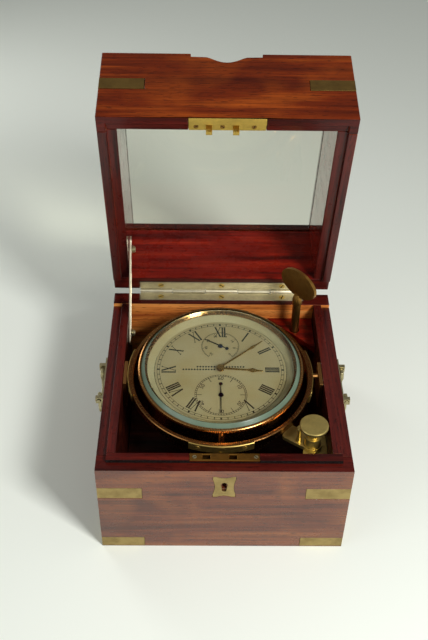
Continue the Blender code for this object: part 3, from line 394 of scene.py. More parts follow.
# Each wood finish: its family of three colours in the wood settings, and what sets it apart.
WOODS = {
    "mahogany_lid_front": ("lid", {"tilt": LID_OPEN, "coat": 0.12, "body": 0.08}),
    "mahogany_lid_side": ("lid", {"along": "Y", "tilt": LID_OPEN, "seed": 0.4}),
    "mahogany_base_front": ("base", {"gloss": 0.2, "coat": 0.5, "body": 0.5, "patch": 0.8, "seed": 0.13}),
    "mahogany_base_side": ("base", {"along": "Y", "gloss": 0.2, "coat": 0.5, "body": 0.5, "seed": 0.7}),
    "mahogany_inner": ("inner", {"gloss": 0.2, "coat": 0.16, "body": 0.08, "seed": 0.2}),
    "mahogany_inner_side": ("inner", {"along": "Y", "tilt": LID_OPEN, "gloss": 0.1, "coat": 0.8}),
    "mahogany_well": ("well", {"gloss": 0.3, "coat": 0.05, "body": 0.06, "seed": 0.3}),
    "mahogany_back_wall": ("back", {"gloss": 0.25, "seed": 0.35}),
    "mahogany_rim": ("rim", {"gloss": 0.25, "coat": 0.25, "body": 0.1, "seed": 0.9}),
    "mahogany_bead": ("well", {"gloss": 0.15, "coat": 0.6, "seed": 0.6}),
    "mahogany_rim_base_side": ("rim", {"along": "Y", "gloss": 0.25, "coat": 0.4, "seed": 0.5}),
    "mahogany_rim_lid_side": ("rim", {"along": "Y", "tilt": LID_OPEN, "gloss": 0.25, "coat": 0.4}),
}
# Each brass finish: its colour in the metal settings, roughness, tarnish, scratches, their run, and patch size.
BRUSHED = (0.1, 1.0, 1.0)
BRASSES = {
    "brass_strap": ("strap", 0.42, 0.5, 0.12, BRUSHED),
    "brass_lid_strap": ("lid_strap", 0.36, 0.6, 0.12, BRUSHED),
    "brass_fitting": ("fitting", 0.30, 0.4, 0.10, BRUSHED),
    "brass_pale": ("pale", 0.26, 0.35, 0.10, BRUSHED),
    "brass_link": ("link", 0.30, 0.3, 0.10, BRUSHED),
    "brass_lock": ("lock", 0.34, 0.7, 0.12, BRUSHED),
    "brass_ring": ("ring", 0.12, 0.35, 0.04, (1.0, 1.0, 1.0), 0.018),
    "brass_pad": ("pad", 0.34, 0.3, 0.10),
    "brass_bezel": ("bezel", 0.12, 0.3, 0.04, (1.0, 1.0, 1.0), 0.02),
    "brass_knob": ("knob", 0.34, 0.25, 0.22, (0.15, 1.0, 1.0), 0.006),
    "brass_key": ("key", 0.30, 0.5, 0.08, (1.0, 1.0, 1.0), 0.008),
    "brass_plate": ("bezel", 0.28, 0.15, 0.05),
}
FINISHES = {}


def make_finish(name):
    """Makes the finish of that name from its colours in the settings."""
    if name in WOODS:
        family, values = WOODS[name]
        tones = [tuple(getattr(wood(), f"{family}_{tone}")) for tone in TONES]
        return mahogany(name, *tones, **values)
    if name in BRASSES:
        tone, *values = BRASSES[name]
        return brass(name, tuple(getattr(metal(), tone)), *values)
    others = {
        "gilt_brass": lambda: worked_metal(name, tuple(metal().gilt), 0.18),
        "polished_steel": lambda: worked_metal(name, tuple(metal().steel), 0.2),
        "blued_steel": lambda: worked_metal(name, tuple(metal().blued), 0.22),
        "silvered_dial": lambda: silvered(name, tuple(face().silver)),
        "silvered_flange": lambda: silvered(name, tuple(face().flange), 0.35),
        "engraving_wax": lambda: dark_fill(name, tuple(face().wax)),
        "groove_dirt": lambda: dark_fill(name, tuple(wood().groove)),
        "glass_pane": lambda: clear_glass(name, hex_rgb("#f4f4ea")),
        "glass_crystal": lambda: clear_glass(name, hex_rgb("#f2faf4")),
        "glass_ground_edge": lambda: ground_glass(name, tuple(face().glass)),
    }
    return others[name]()


def finish(name):
    """The finish of that name, made when it is first asked for."""
    if name not in FINISHES:
        FINISHES[name] = make_finish(name)
    return FINISHES[name]


# ---- making pieces ----
def new_piece(name, bm, body, finishes, slot, stands_for=(), smooth=32.0, choose=None):
    """Ends a bmesh as a piece that rides on a body. choose gives a face's finish by its number."""
    names = [finishes] if isinstance(finishes, str) else finishes
    if choose:
        for bm_face in bm.faces:
            bm_face.material_index = choose(bm_face)
    mesh = bpy.data.meshes.new(name)
    bm.to_mesh(mesh)
    bm.free()
    for finish_name in names:
        mesh.materials.append(finish(finish_name))
    mesh.shade_smooth()
    mesh.set_sharp_from_angle(angle=math.radians(smooth))
    obj = linked(name, mesh)
    flat = obj.modifiers.new("flat_faces", "WEIGHTED_NORMAL")
    flat.keep_sharp, flat.weight = True, 90
    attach(obj, body)
    if stands_for:
        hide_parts(*stands_for)
    return obj


def linked(name, data):
    """An object of that data, in the scene."""
    obj = bpy.data.objects.new(name, data)
    bpy.context.scene.collection.objects.link(obj)
    return obj


def hung_piece(name, bm, *rest, **more):
    """A piece that was shaped upright about the gimbal's centre, put where it hangs."""
    bm.transform(HUNG)
    return new_piece(name, bm, *rest, **more)


def copy_of(node, matrix=None):
    """A bmesh of a packed node, its loose triangles merged into flat faces."""
    bm = bmesh.new()
    bm.from_mesh(frame["nodes"][node].data)
    if matrix:
        bm.transform(matrix)
    bmesh.ops.remove_doubles(bm, verts=bm.verts, dist=1e-6)
    bmesh.ops.dissolve_limit(bm, angle_limit=math.radians(0.6), verts=bm.verts, edges=bm.edges)
    bmesh.ops.recalc_face_normals(bm, faces=bm.faces)
    return bm


def soften(bm, width, angle=28.0, segments=2):
    """Rounds the edges that turn more than an angle."""
    edges = [e for e in bm.edges if len(e.link_faces) == 2 and e.calc_face_angle() > math.radians(angle)]
    if edges:
        bmesh.ops.bevel(bm, geom=edges, offset=width, offset_type="OFFSET", segments=segments, profile=0.5,
                        affect="EDGES", clamp_overlap=True, material=-1)


def body_of(node):
    """The body that a packed node moves with."""
    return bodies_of(frame["nodes"][node])[0]


def refined(node, finish_name, slot, width, angle=28.0, segments=2, smooth=32.0):
    """A packed node again, with rounded edges and its own finish."""
    bm = copy_of(node)
    soften(bm, width, angle, segments)
    return new_piece(node + "_fine", bm, body_of(node), finish_name, slot, (node,), smooth)


def turned(profile, steps, centre=(0, 0, 0), arc=TURN, start=0.0, loop=True):
    """A lathe shape about the vertical through centre, from (radius, height) points; loop joins last to first."""
    bm = bmesh.new()
    verts = [bm.verts.new((r, 0.0, z)) for r, z in profile]
    pairs = list(zip(verts, verts[1:])) + ([(verts[-1], verts[0])] if loop else [])
    edges = [bm.edges.new(pair) for pair in pairs]
    full = abs(arc - TURN) < 1e-6
    if not full:
        bmesh.ops.contextual_create(bm, geom=edges)
    geom = verts + edges if full else bm.verts[:] + bm.edges[:] + bm.faces[:]
    bmesh.ops.spin(bm, geom=geom, cent=(0, 0, 0), axis=(0, 0, 1), angle=arc, steps=steps, use_merge=full)
    if not full:
        bmesh.ops.contextual_create(bm, geom=[e for e in bm.edges if e.is_boundary])
    bmesh.ops.remove_doubles(bm, verts=bm.verts, dist=1e-7)
    bmesh.ops.recalc_face_normals(bm, faces=bm.faces)
    bmesh.ops.rotate(bm, verts=bm.verts, cent=(0, 0, 0), matrix=Matrix.Rotation(start, 3, "Z"))
    bmesh.ops.translate(bm, verts=bm.verts, vec=centre)
    return bm


def merge(bm, other, matrix=None):
    """Adds another bmesh to this one and frees it."""
    if matrix:
        other.transform(matrix)
    spare = bpy.data.meshes.new("spare")
    other.to_mesh(spare)
    other.free()
    bm.from_mesh(spare)
    bpy.data.meshes.remove(spare)


def slotted_head(radius, height, slot):
    """A round screw head on the origin's plane, with a slot across the middle whose floor has the second finish."""
    bm = bmesh.new()
    floor = height * 0.45
    sink = Matrix.Translation((0, 0, (floor - height) / 2))
    bmesh.ops.create_cone(bm, cap_ends=True, segments=20, radius1=radius, radius2=radius, depth=floor + height,
                          matrix=sink)
    for side in (-1, 1):
        geom = bm.verts[:] + bm.edges[:] + bm.faces[:]
        bmesh.ops.bisect_plane(bm, geom=geom, plane_co=(0, side * slot / 2, 0), plane_no=(0, 1, 0))
    tops = [f for f in bm.faces if f.normal.z > 0.9 and abs(f.calc_center_median().y) > slot / 2]
    raised = bmesh.ops.extrude_discrete_faces(bm, faces=tops)["faces"]
    verts = list({v for f in raised for v in f.verts})
    bmesh.ops.translate(bm, verts=verts, vec=(0, 0, height - floor))
    edges = list({e for f in raised for e in f.edges})
    bmesh.ops.bevel(bm, geom=edges, offset=radius * 0.12, offset_type="OFFSET", segments=2, profile=0.5,
                    affect="EDGES", clamp_overlap=True, material=-1)
    for bm_face in bm.faces:
        bm_face.material_index = int(bm_face.normal.z > 0.9 and abs(bm_face.calc_center_median().y) < slot * 0.4)
    return bm


def facing(place, normal, turn=0.0):
    """A matrix that puts the origin at place, with up along normal, turned about it."""
    lay = Vector(normal).to_track_quat("Z", "Y").to_matrix().to_4x4()
    return Matrix.Translation(place) @ lay @ Matrix.Rotation(turn, 4, "Z")


def screws(name, body, places, normal, radius, finish_name="brass_fitting", height=0.0004, matrix=None):
    """A row of screws in one piece: each place is a point on the face, and its slot's own angle."""
    bm = bmesh.new()
    for index, place in enumerate(places):
        lay = facing(place, normal, 0.5 + index * 1.9)
        merge(bm, slotted_head(radius, height, radius * 0.34), matrix @ lay if matrix else lay)
    # The slot floors get the painted shade.
    return new_piece(name, bm, body, [finish_name, "groove_dirt"], "brass")


# ---- the box ----
WOOD_EDGE = 30.0  # degrees: a board's edges that turn more are rounded
SKIN = 0.0012  # no outer face lies deeper than this
RIM_REACH = 0.0045  # rims and their steps lie within this of the plane where lid and base meet
STEP_REACH = 0.0025  # the middles of the steps' upright faces lie within this of it
STEP_INSET = 0.0110  # and within this of the board's outer face


def board(node, outer, inner, rim, outward, upright=None):
    """A board with its outer face, its rim and its inner faces in their own polish, and painted shade on the upright
    faces of the steps of its rim.
    upright undoes the lid's tilt."""
    out = Vector(outward)
    level = upright.to_3x3() if upright else Matrix.Identity(3)
    bm = copy_of(node)
    shut = [level @ v.co for v in bm.verts]
    reach = max(p.dot(out) for p in shut)
    low_z, high_z = min(p.z for p in shut), max(p.z for p in shut)
    mating = low_z if upright else high_z

    def choose(bm_face):
        normal, centre = level @ bm_face.normal, level @ bm_face.calc_center_median()
        if normal.dot(out) > 0.5 and centre.dot(out) > reach - SKIN:
            return 0
        if abs(normal.z) > 0.5 and abs(centre.z - mating) < RIM_REACH:
            return 2
        inset = reach - centre.dot(out)
        # The upright faces of the rim's steps get the painted shade.
        if abs(normal.dot(out)) > 0.5 and abs(centre.z - mating) < STEP_REACH and SKIN < inset < STEP_INSET:
            return 3
        return 1 if normal.dot(out) < -0.5 else 0

    soften(bm, wood().edge, WOOD_EDGE, 3)
    finishes = [outer, inner, rim, "groove_dirt"]
    return new_piece(node + "_board", bm, body_of(node), finishes, "mahogany", (node,), choose=choose)


class CHRONOMETER_OT_base(bpy.types.Operator):
    """Builds the five boards of the base"""

    bl_idname = "chronometer.base"
    bl_label = "Base boards"

    def execute(self, context):
        board("base_front", "mahogany_base_front", "mahogany_well", "mahogany_rim", (0, -1, 0))
        # The inside of the back board takes the painted light of the back family.
        board("base_back", "mahogany_base_front", "mahogany_back_wall", "mahogany_rim", (0, 1, 0))
        board("base_left", "mahogany_base_side", "mahogany_well", "mahogany_rim_base_side", (-1, 0, 0))
        board("base_right", "mahogany_base_side", "mahogany_well", "mahogany_rim_base_side", (1, 0, 0))
        refined("base_bottom", "mahogany_well", "mahogany", wood().edge)
        return {"FINISHED"}


class CHRONOMETER_OT_lid(bpy.types.Operator):
    """Builds the lid's four boards, its pane of glass and the bead that holds it"""

    bl_idname = "chronometer.lid"
    bl_label = "Lid"

    def execute(self, context):
        shut = OPENED.inverted()
        board("lid_front", "mahogany_lid_front", "mahogany_inner", "mahogany_rim", (0, -1, 0), shut)
        board("lid_back", "mahogany_lid_front", "mahogany_inner", "mahogany_rim", (0, 1, 0), shut)
        board("lid_left", "mahogany_lid_side", "mahogany_inner_side", "mahogany_rim_lid_side", (-1, 0, 0), shut)
        board("lid_right", "mahogany_lid_side", "mahogany_inner_side", "mahogany_rim_lid_side", (1, 0, 0), shut)
        refined("glass_bead", "mahogany_bead", "mahogany", 0.0004)
        refined("lid_glass", "glass_pane", "glass", 0.0002)
        return {"FINISHED"}


STRAP_PROUD = 0.00015  # how far a back strap stands out
STRAP_EDGE = 0.00014  # rounding of a strap's edges


class CHRONOMETER_OT_straps(bpy.types.Operator):
    """Builds the brass straps let in round the corners; those at the back mirror the front ones"""

    bl_idname = "chronometer.straps"
    bl_label = "Corner straps"

    def execute(self, context):
        flip = Matrix.Scale(-1, 4, (0, 1, 0))
        for side, out in (("left", -1), ("right", 1)):
            proud = Matrix.Translation((out * STRAP_PROUD, STRAP_PROUD, 0))
            for level in ("base_upper", "base_lower", "lid"):
                node = f"strap_{level}_{side}"
                strap_finish = "brass_lid_strap" if level == "lid" else "brass_strap"
                refined(node, strap_finish, "brass", STRAP_EDGE)
                back = proud @ flip if level != "lid" else OPENED @ proud @ flip @ OPENED.inverted()
                bm = copy_of(node, back)
                bmesh.ops.recalc_face_normals(bm, faces=bm.faces)
                soften(bm, STRAP_EDGE)
                new_piece(node + "_back", bm, "lid" if level == "lid" else "case", strap_finish, "brass")
        return {"FINISHED"}


class CHRONOMETER_OT_hinge(bpy.types.Operator):
    """Builds the long hinge with its countersunk screws"""

    bl_idname = "chronometer.hinge"
    bl_label = "Hinge"

    def execute(self, context):
        edge = metal().edge
        refined("hinge_leaf_base", "brass_pale", "pale_brass", edge)
        refined("hinge_leaf_lid", "brass_pale", "pale_brass", edge)
        refined("hinge_pin", "brass_pale", "pale_brass", edge)
        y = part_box("hinge_leaf_base")[0].y + 0.0042
        head = 0.0025
        places = [Vector((x, y, RIM)) for x in (-0.052, 0.0, 0.052)]
        screws("hinge_screws_base", "case", places, (0, 0, 1), head, "brass_knob", FLUSH)
        shut = [Vector((place.x, y, LID_RIM)) for place in places]
        screws("hinge_screws_lid", "lid", shut, (0, 0, -1), head, "brass_knob", FLUSH, OPENED)
        return {"FINISHED"}


class CHRONOMETER_OT_lock(bpy.types.Operator):
    """Builds the box lock, its bolt, the lid's hooked plate and the escutcheon"""

    bl_idname = "chronometer.lock"
    bl_label = "Lock"

    def execute(self, context):
        edge = metal().edge
        refined("box_lock", "brass_lock", "brass", edge)
        refined("lock_bolt", "polished_steel", "steel", 0.0001)
        refined("link_plate", "brass_link", "brass", edge)
        refined("escutcheon", "brass_strap", "brass", 0.0002)
        low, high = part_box("box_lock")
        middle = (low.y + high.y) / 2
        places = [(x, middle, high.z) for x in (-0.0215, 0.0225)]
        screws("lock_plate_screws", "case", places, (0, 0, 1), 0.0016, height=FLUSH)
        shut = [Vector((x, middle, LID_RIM)) for x in (-0.0222, -0.0035, 0.0189)]
        screws("link_plate_screws", "lid", shut, (0, 0, -1), 0.0018, "brass_key", FLUSH, OPENED)
        low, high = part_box("escutcheon")
        pins = bmesh.new()
        for x in (-0.0052, 0.0052):
            for z in (0.26, 0.74):
                lay = facing((x, low.y + 0.00002, low.z + (high.z - low.z) * z), (0, -1, 0))
                bmesh.ops.create_uvsphere(pins, u_segments=10, v_segments=6, radius=0.0005,
                                          matrix=lay @ Matrix.Scale(0.4, 4, (0, 0, 1)))
        new_piece("escutcheon_pins", pins, "case", "brass_strap", "brass")
        return {"FINISHED"}


class CHRONOMETER_OT_handles(bpy.types.Operator):
    """Builds the drop handle on each side"""

    bl_idname = "chronometer.handles"
    bl_label = "Handles"

    def execute(self, context):
        for side, out in (("left", -1), ("right", 1)):
            refined("handle_plate_" + side, "brass_fitting", "brass", metal().edge)
            bail = refined("handle_" + side, "brass_fitting", "brass", 0.0003, angle=60)
            bail.data.shade_smooth()
            low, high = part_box("handle_plate_" + side)
            x = out * (HALF_W + 0.0017)
            places = [(x, y, (low.z + high.z) / 2) for y in (-0.0205, -0.008, 0.008, 0.0205)]
            screws("handle_screws_" + side, "case", places, (out, 0, 0), 0.0012)
        return {"FINISHED"}


class CHRONOMETER_OT_stay(bpy.types.Operator):
    """Builds the slotted stay and the screws it turns and slides on"""

    bl_idname = "chronometer.stay"
    bl_label = "Lid stay"

    def execute(self, context):
        refined("lid_stay", "brass_pale", "pale_brass", 0.0002)
        for node in ("stay_screw_lid", "stay_screw_base"):
            low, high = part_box(node)
            middle = (low + high) / 2
            profile = [
                (0.0, 0.0), (0.0013, 0.0), (0.0013, 0.0026), (0.0035, 0.0026), (0.0035, 0.0028),
                (0.0028, 0.0031), (0.0028, 0.0040), (0.0024, 0.0044), (0.0, 0.0044),
            ]
            bm = turned(profile, 28, loop=False)
            merge(bm, slotted_head(0.0022, 0.0007, 0.0008), Matrix.Translation((0, 0, 0.0043)))
            bm.transform(facing((low.x, middle.y, middle.z), (1, 0, 0), 0.8))
            new_piece(node + "_turned", bm, body_of(node), "brass_fitting", "brass", (node,))
        return {"FINISHED"}


# ---- gimbal ----
class CHRONOMETER_OT_gimbal(bpy.types.Operator):
    """Builds the gimbal ring with its four thick pads and screws, and the brackets that carry it"""

    bl_idname = "chronometer.gimbal"
    bl_label = "Gimbal"

    def execute(self, context):
        inner, outer, half, pad_out = 0.0680, 0.0713, 0.0035, 0.0726
        soft = 0.0005
        band = [
            (inner + soft, half), (outer - soft, half), (outer, half - soft), (outer, -half + soft),
            (outer - soft, -half), (inner + soft, -half), (inner, -half + soft), (inner, half - soft),
        ]
        bm = turned(band, 192)
        pad = half + 0.0004
        pad_profile = [
            (outer - 0.001, pad), (pad_out - soft, pad), (pad_out, pad - soft), (pad_out, -pad + soft),
            (pad_out - soft, -pad), (outer - 0.001, -pad),
        ]
        boss = [(0.0023, -0.0006), (0.0033, -0.0006), (0.0033, 0.0002), (0.0029, 0.0005), (0.0023, 0.0005)]
        span = math.radians(39)
        for quarter in range(4):
            merge(bm, turned(pad_profile, 24, arc=span, start=quarter * TURN / 4 - span / 2))
            for offset in (-14, 14, 0):
                out = ray(90 - quarter * 90 - offset, 1).to_3d()
                if offset:
                    merge(bm, slotted_head(0.0020, 0.0005, 0.0006), facing(out * (pad_out - 0.0002), out, 0.6))
                else:
                    merge(bm, turned(boss, 24), facing(out * (pad_out - 0.0004), out))
        # Faces outside the band (the pads, their screws and bosses) take the pads' painted light.
        for bm_face in bm.faces:
            bm_face.material_index = int(bm_face.calc_center_median().xy.length > outer + 0.0001)
        hung_piece("gimbal_ring_turned", bm, "gimbal_ring", ["brass_ring", "brass_pad"], "brass", ("gimbal_ring",))
        for side in ("left", "right"):
            refined("gimbal_bracket_" + side, "brass_plate", "brass", metal().edge)
        return {"FINISHED"}


class CHRONOMETER_OT_gimbal_lock(bpy.types.Operator):
    """Builds the corner post, the arm that steadies the ring, and the clamping knob"""

    bl_idname = "chronometer.gimbal_lock"
    bl_label = "Gimbal lock"

    def execute(self, context):
        refined("lock_bracket", "brass_knob", "brass", metal().edge, smooth=40)
        refined("lock_arm", "brass_knob", "brass", metal().edge, smooth=40)
        foot, top = (corner.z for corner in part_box("lock_knob"))
        profile = [
            (0.0, top), (0.0096, top), (0.0103, top - 0.0003), (0.0107, top - 0.0009), (0.0107, top - 0.0024),
            (0.0103, top - 0.0030), (0.0096, top - 0.0034), (0.0052, top - 0.0042), (0.0040, top - 0.0056),
            (0.0038, top - 0.0070), (0.0044, top - 0.0100), (0.0046, top - 0.0122), (0.0020, top - 0.0122),
            (0.0020, foot), (0.0, foot),
        ]
        bm = turned(profile, 72, (LOCK_POST.x, LOCK_POST.y, 0), loop=False)
        new_piece("lock_knob_turned", bm, "lock_knob", "brass_knob", "brass", ("lock_knob",), smooth=25)
        return {"FINISHED"}


class CHRONOMETER_OT_winding_key(bpy.types.Operator):
    """Builds the winding key and its corner shelf"""

    bl_idname = "chronometer.winding_key"
    bl_label = "Winding key"

    def execute(self, context):
        refined("winding_key", "brass_key", "brass", 0.0005, segments=3, smooth=40)
        refined("key_shelf", "mahogany_inner", "mahogany", 0.0004)
        return {"FINISHED"}


# ---- bowl ----
class CHRONOMETER_OT_bowl(bpy.types.Operator):
    """Builds the bowl, its dust shutter, the milled bezel, the crystal and the slope round the dial"""

    bl_idname = "chronometer.bowl"
    bl_label = "Bowl"

    def execute(self, context):
        refined("bowl", "brass_ring", "brass", 0.0002, angle=50, smooth=40)
        refined("dust_shutter", "brass_plate", "brass", 0.0002)
        self.bezel()
        self.crystal()
        outer, inner = 0.0576, 0.0518
        slope = [
            (outer, BOWL_RIM - 0.0004), (outer, BOWL_RIM - 0.0014), (inner, DIAL_TOP - 0.0010), (inner, DIAL_TOP)
        ]
        bm = turned(slope, 128)
        hung_piece("sight_ring_turned", bm, "bowl", "silvered_flange", "silvered", ("sight_ring",))
        return {"FINISHED"}

    def bezel(self):
        """A ring with a milled edge: every other step of the band is drawn in a little."""
        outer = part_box("bezel")[1].x - GIMBAL.x
        low, seat = BOWL_RIM + GAP, 0.0570
        top = low + 0.0037
        teeth = face().milling
        depth = 0.00045
        profile = [
            (outer - 0.0018, top), (outer - 0.0010, top - 0.0002), (outer - 0.0004, top - 0.0007),
            (outer, top - 0.0013), (outer, low + 0.0006), (outer - 0.0005, low), (seat, low), (seat, low + 0.0013),
            (outer - 0.0022, low + 0.0013), (outer - 0.0022, top),
        ]
        bm = turned(profile, teeth * 2)
        for vert in bm.verts:
            radius = vert.co.xy.length
            step = round(math.atan2(vert.co.y, vert.co.x) / TURN * teeth * 2)
            if radius > outer - 0.0001 and step % 2:
                vert.co.xy *= (radius - depth) / radius
        hung_piece("bezel_milled", bm, "bowl", "brass_bezel", "brass", ("bezel",), smooth=30)

    def crystal(self):
        """A thick flat crystal, and its ground bevel as a ring of its own tint."""
        under, edge, flat = BOWL_RIM + 0.0019, 0.0618, 0.0588
        disc = [(0.0, under + 0.0045), (flat, under + 0.0041), (flat, under), (0.0, under)]
        bm = turned(disc, 128, loop=False)
        hung_piece("crystal_disc", bm, "bowl", "glass_crystal", "glass", ("crystal",))
        near = flat + 0.0001
        bevel = [
            (near, under + 0.0040), (edge - 0.0002, under + 0.0014), (edge, under + 0.0010), (edge, under),
            (near, under),
        ]
        bm = turned(bevel, 128)
        hung_piece("crystal_ground_edge", bm, "bowl", "glass_ground_edge", "glass")


# ---- dial ----
HAIR = 0.00028  # width of a circle's line
THICK = 0.00122  # width of a numeral's thick stroke
THIN = 0.00046  # width of its thin stroke and its serifs
PROUD = 0.00004  # how far the wax stands over the dial


def bar(bm, start, end, width):
    """A flat bar in the dial's plane from start to end."""
    a, b = Vector(start), Vector(end)
    run = b - a
    lay = Matrix.Translation(((a + b) / 2).to_3d()) @ Matrix.Rotation(math.atan2(run.y, run.x), 4, "Z")
    size = Matrix.Diagonal((run.length, width, 1.0, 1.0))
    bmesh.ops.create_grid(bm, x_segments=1, y_segments=1, size=0.5, matrix=lay @ size)


def circle_line(bm, radius, width, centre=(0, 0, 0)):
    """A thin flat ring."""
    merge(bm, turned([(radius - width / 2, 0.0), (radius + width / 2, 0.0)], 96, centre, loop=False))


def numeral(bm, letters, height, place, turn):
    """A Roman numeral of thick and thin strokes with serifs, its foot to the dial's centre."""
    half, lean = height / 2, height * 0.19
    widths = {"I": THICK * 1.5, "V": lean * 2 + THICK * 1.3, "X": lean * 2 + THICK * 1.3}
    total = sum(widths[c] for c in letters)
    glyphs = bmesh.new()
    x = -total / 2
    serif = THICK * 1.35
    for letter in letters:
        wide = widths[letter]
        mid = x + wide / 2
        strokes = {
            "I": [(0.0, 0.0, THICK)],
            "V": [(-lean, 0.0, THICK), (lean, 0.0, THIN)],
            "X": [(-lean, lean, THICK), (lean, -lean, THIN)],
        }[letter]
        for top, foot, width in strokes:
            bar(glyphs, (mid + top, half), (mid + foot, -half), width)
            bar(glyphs, (mid + top - serif / 2, half), (mid + top + serif / 2, half), THIN)
            if letter != "V":
                bar(glyphs, (mid + foot - serif / 2, -half), (mid + foot + serif / 2, -half), THIN)
        x += wide
    merge(bm, glyphs, Matrix.Translation(place.to_3d()) @ Matrix.Rotation(turn, 4, "Z"))


def figures(bm, text, size, place, turn):
    """Plain figures, made a mesh from text before they are placed."""
    curve = bpy.data.curves.new("figures", "FONT")
    curve.body, curve.size, curve.align_x, curve.align_y = text, size, "CENTER", "CENTER"
    obj = linked("figures", curve)
    bpy.context.view_layer.update()
    mesh = bpy.data.meshes.new_from_object(obj.evaluated_get(bpy.context.evaluated_depsgraph_get()))
    mesh.transform(Matrix.Translation(place.to_3d()) @ Matrix.Rotation(turn, 4, "Z"))
    bm.from_mesh(mesh)
    bpy.data.objects.remove(obj)
    bpy.data.curves.remove(curve)
    bpy.data.meshes.remove(mesh)


def ray(angle, radius, centre=(0.0, 0.0)):
    """The point at a clock angle in degrees and a radius from a centre."""
    a = math.radians(angle)
    return Vector((centre[0] + radius * math.sin(a), centre[1] + radius * math.cos(a)))


class CHRONOMETER_OT_dial(bpy.types.Operator):
    """Builds the silvered dial, with its engraved circles, hour numerals and figures"""

    bl_idname = "chronometer.dial"
    bl_label = "Dial"

    def execute(self, context):
        refined("dial", "silvered_dial", "silvered", 0.00005, smooth=40)
        bm = bmesh.new()
        self.minutes(bm)
        self.seconds(bm)
        self.updown(bm)
        self.scrolls(bm)
        region = bmesh.ops.extrude_face_region(bm, geom=bm.faces[:])["geom"]
        verts = [g for g in region if isinstance(g, bmesh.types.BMVert)]
        bmesh.ops.translate(bm, verts=verts, vec=(0, 0, PROUD))
        bmesh.ops.recalc_face_normals(bm, faces=bm.faces)
        bm.transform(HUNG @ Matrix.Translation((0, 0, DIAL_TOP)))
        new_piece("dial_engraving", bm, "bowl", "engraving_wax", "blued_steel")
        return {"FINISHED"}

    def minutes(self, bm):
        """The minute track and the hour numerals, without the six, where the seconds dial stands."""
        track, hours = face().minute_ring, face().hour_ring
        for radius in (track - 0.0010, track + 0.0010):
            circle_line(bm, radius, HAIR)
        for minute in range(60):
            angle = minute * 6
            fifth = minute % 5 == 0
            bar(bm, ray(angle, track - 0.0010), ray(angle, track + 0.0010), 0.0014 if fifth else 0.00060)
        names = ["XII", "I", "II", "III", "IIII", "V", None, "VII", "VIII", "IX", "X", "XI"]
        for hour, letters in enumerate(names):
            if letters:
                numeral(bm, letters, face().numeral, ray(hour * 30, hours), -math.radians(hour * 30))

    def seconds(self, bm):
        """The seconds dial: its circles, sixty marks, long marks at the odd fives and figures at the tens."""
        centre = SECONDS.xy
        outer, inner, long, text = 0.0199, 0.0186, 0.0146, 0.0163
        for radius in (outer, inner):
            circle_line(bm, radius, HAIR, (*centre, 0))
        for second in range(60):
            angle = second * 6
            start = long if second % 10 == 5 else inner
            bar(bm, ray(angle, start, centre), ray(angle, outer, centre), 0.00042)
        for ten in range(1, 7):
            turn = -math.radians(ten * 60) if ten != 3 else 0
            figures(bm, str(ten * 10), 0.0046, ray(ten * 60, text, centre), turn)

    def updown(self, bm):
        """The dial that counts the hours since winding: an arc of marks and its figures."""
        centre = UPDOWN.xy
        low, high, hours = -140, 140, 56
        outer, short, long, text = 0.0149, 0.0139, 0.0131, 0.0112
        for hour in range(hours + 1):
            angle = low + (high - low) * hour / hours
            eighth = hour % 8 == 0
            start, width = (long, 0.0005) if eighth else (short, 0.0003)
            bar(bm, ray(angle, start, centre), ray(angle, outer, centre), width)
            if eighth:
                figures(bm, str(hours - hour), 0.0034, ray(angle, text, centre), -math.radians(angle))
            if hour:
                last = low + (high - low) * (hour - 1) / hours
                bar(bm, ray(last, outer, centre), ray(angle, outer, centre), HAIR)

    def scrolls(self, bm):
        """Two rows of small engraved diamonds across the dial, where a maker would sign."""
        tilt = Matrix.Rotation(TURN / 8, 4, "Z")
        gap, hub = 0.0022, 0.0048
        for height, reach in ((0.0028, 0.0200), (0.0, 0.0300)):
            for side in (-1, 1):
                place = side * hub
                while abs(place) < reach:
                    if side < 0 or height:
                        grid = Matrix.Translation((place, height, 0)) @ tilt
                        bmesh.ops.create_grid(bm, x_segments=1, y_segments=1, size=0.0007, matrix=grid)
                    place += side * gap


class CHRONOMETER_OT_hands(bpy.types.Operator):
    """Builds the gilt hour and minute hands, and the blued seconds and winding hands"""

    bl_idname = "chronometer.hands"
    bl_label = "Hands"

    def execute(self, context):
        for node in ("hour_hand", "minute_hand"):
            refined(node, "gilt_brass", "gilt", 0.0001, smooth=50)
        for node in ("seconds_hand", "updown_hand"):
            refined(node, "blued_steel", "blued_steel", 0.00008, smooth=50)
        return {"FINISHED"}


class CHRONOMETER_OT_movement(bpy.types.Operator):
    """Finishes the movement under the dial"""

    bl_idname = "chronometer.movement"
    bl_label = "Movement"

    def execute(self, context):
        finishes = {
            "gilt_brass": ("pillar_plate", "top_plate", "centre_wheel", "third_wheel", "fourth_wheel", "escape_wheel",
                           "barrel", "fusee", "balance_cock"),
            "polished_steel": ("balance",),
        }
        for finish_name, nodes in finishes.items():
            for node in nodes:
                obj = frame["nodes"][node]
                for slot in obj.material_slots:
                    slot.material = finish(finish_name)
                if not obj.material_slots:
                    obj.data.materials.append(finish(finish_name))
        return {"FINISHED"}


# ---- stage ----
CAMERA_PLACE = (-0.0182, -0.5077, 0.5930)
CAMERA_DOWN = math.radians(41.297)
CAMERA_YAW = math.radians(-1.160)
CAMERA_ROLL = math.radians(1.191)


def area_light(name, place, target, size, power):
    """A square soft light at place that shines at target."""
    lamp = bpy.data.lights.new(name, "AREA")
    lamp.shape, lamp.size, lamp.energy = "SQUARE", size, power
    obj = linked(name, lamp)
    obj.location = place
    obj.rotation_mode = "QUATERNION"
    obj.rotation_quaternion = (Vector(target) - Vector(place)).to_track_quat("-Z", "Y")


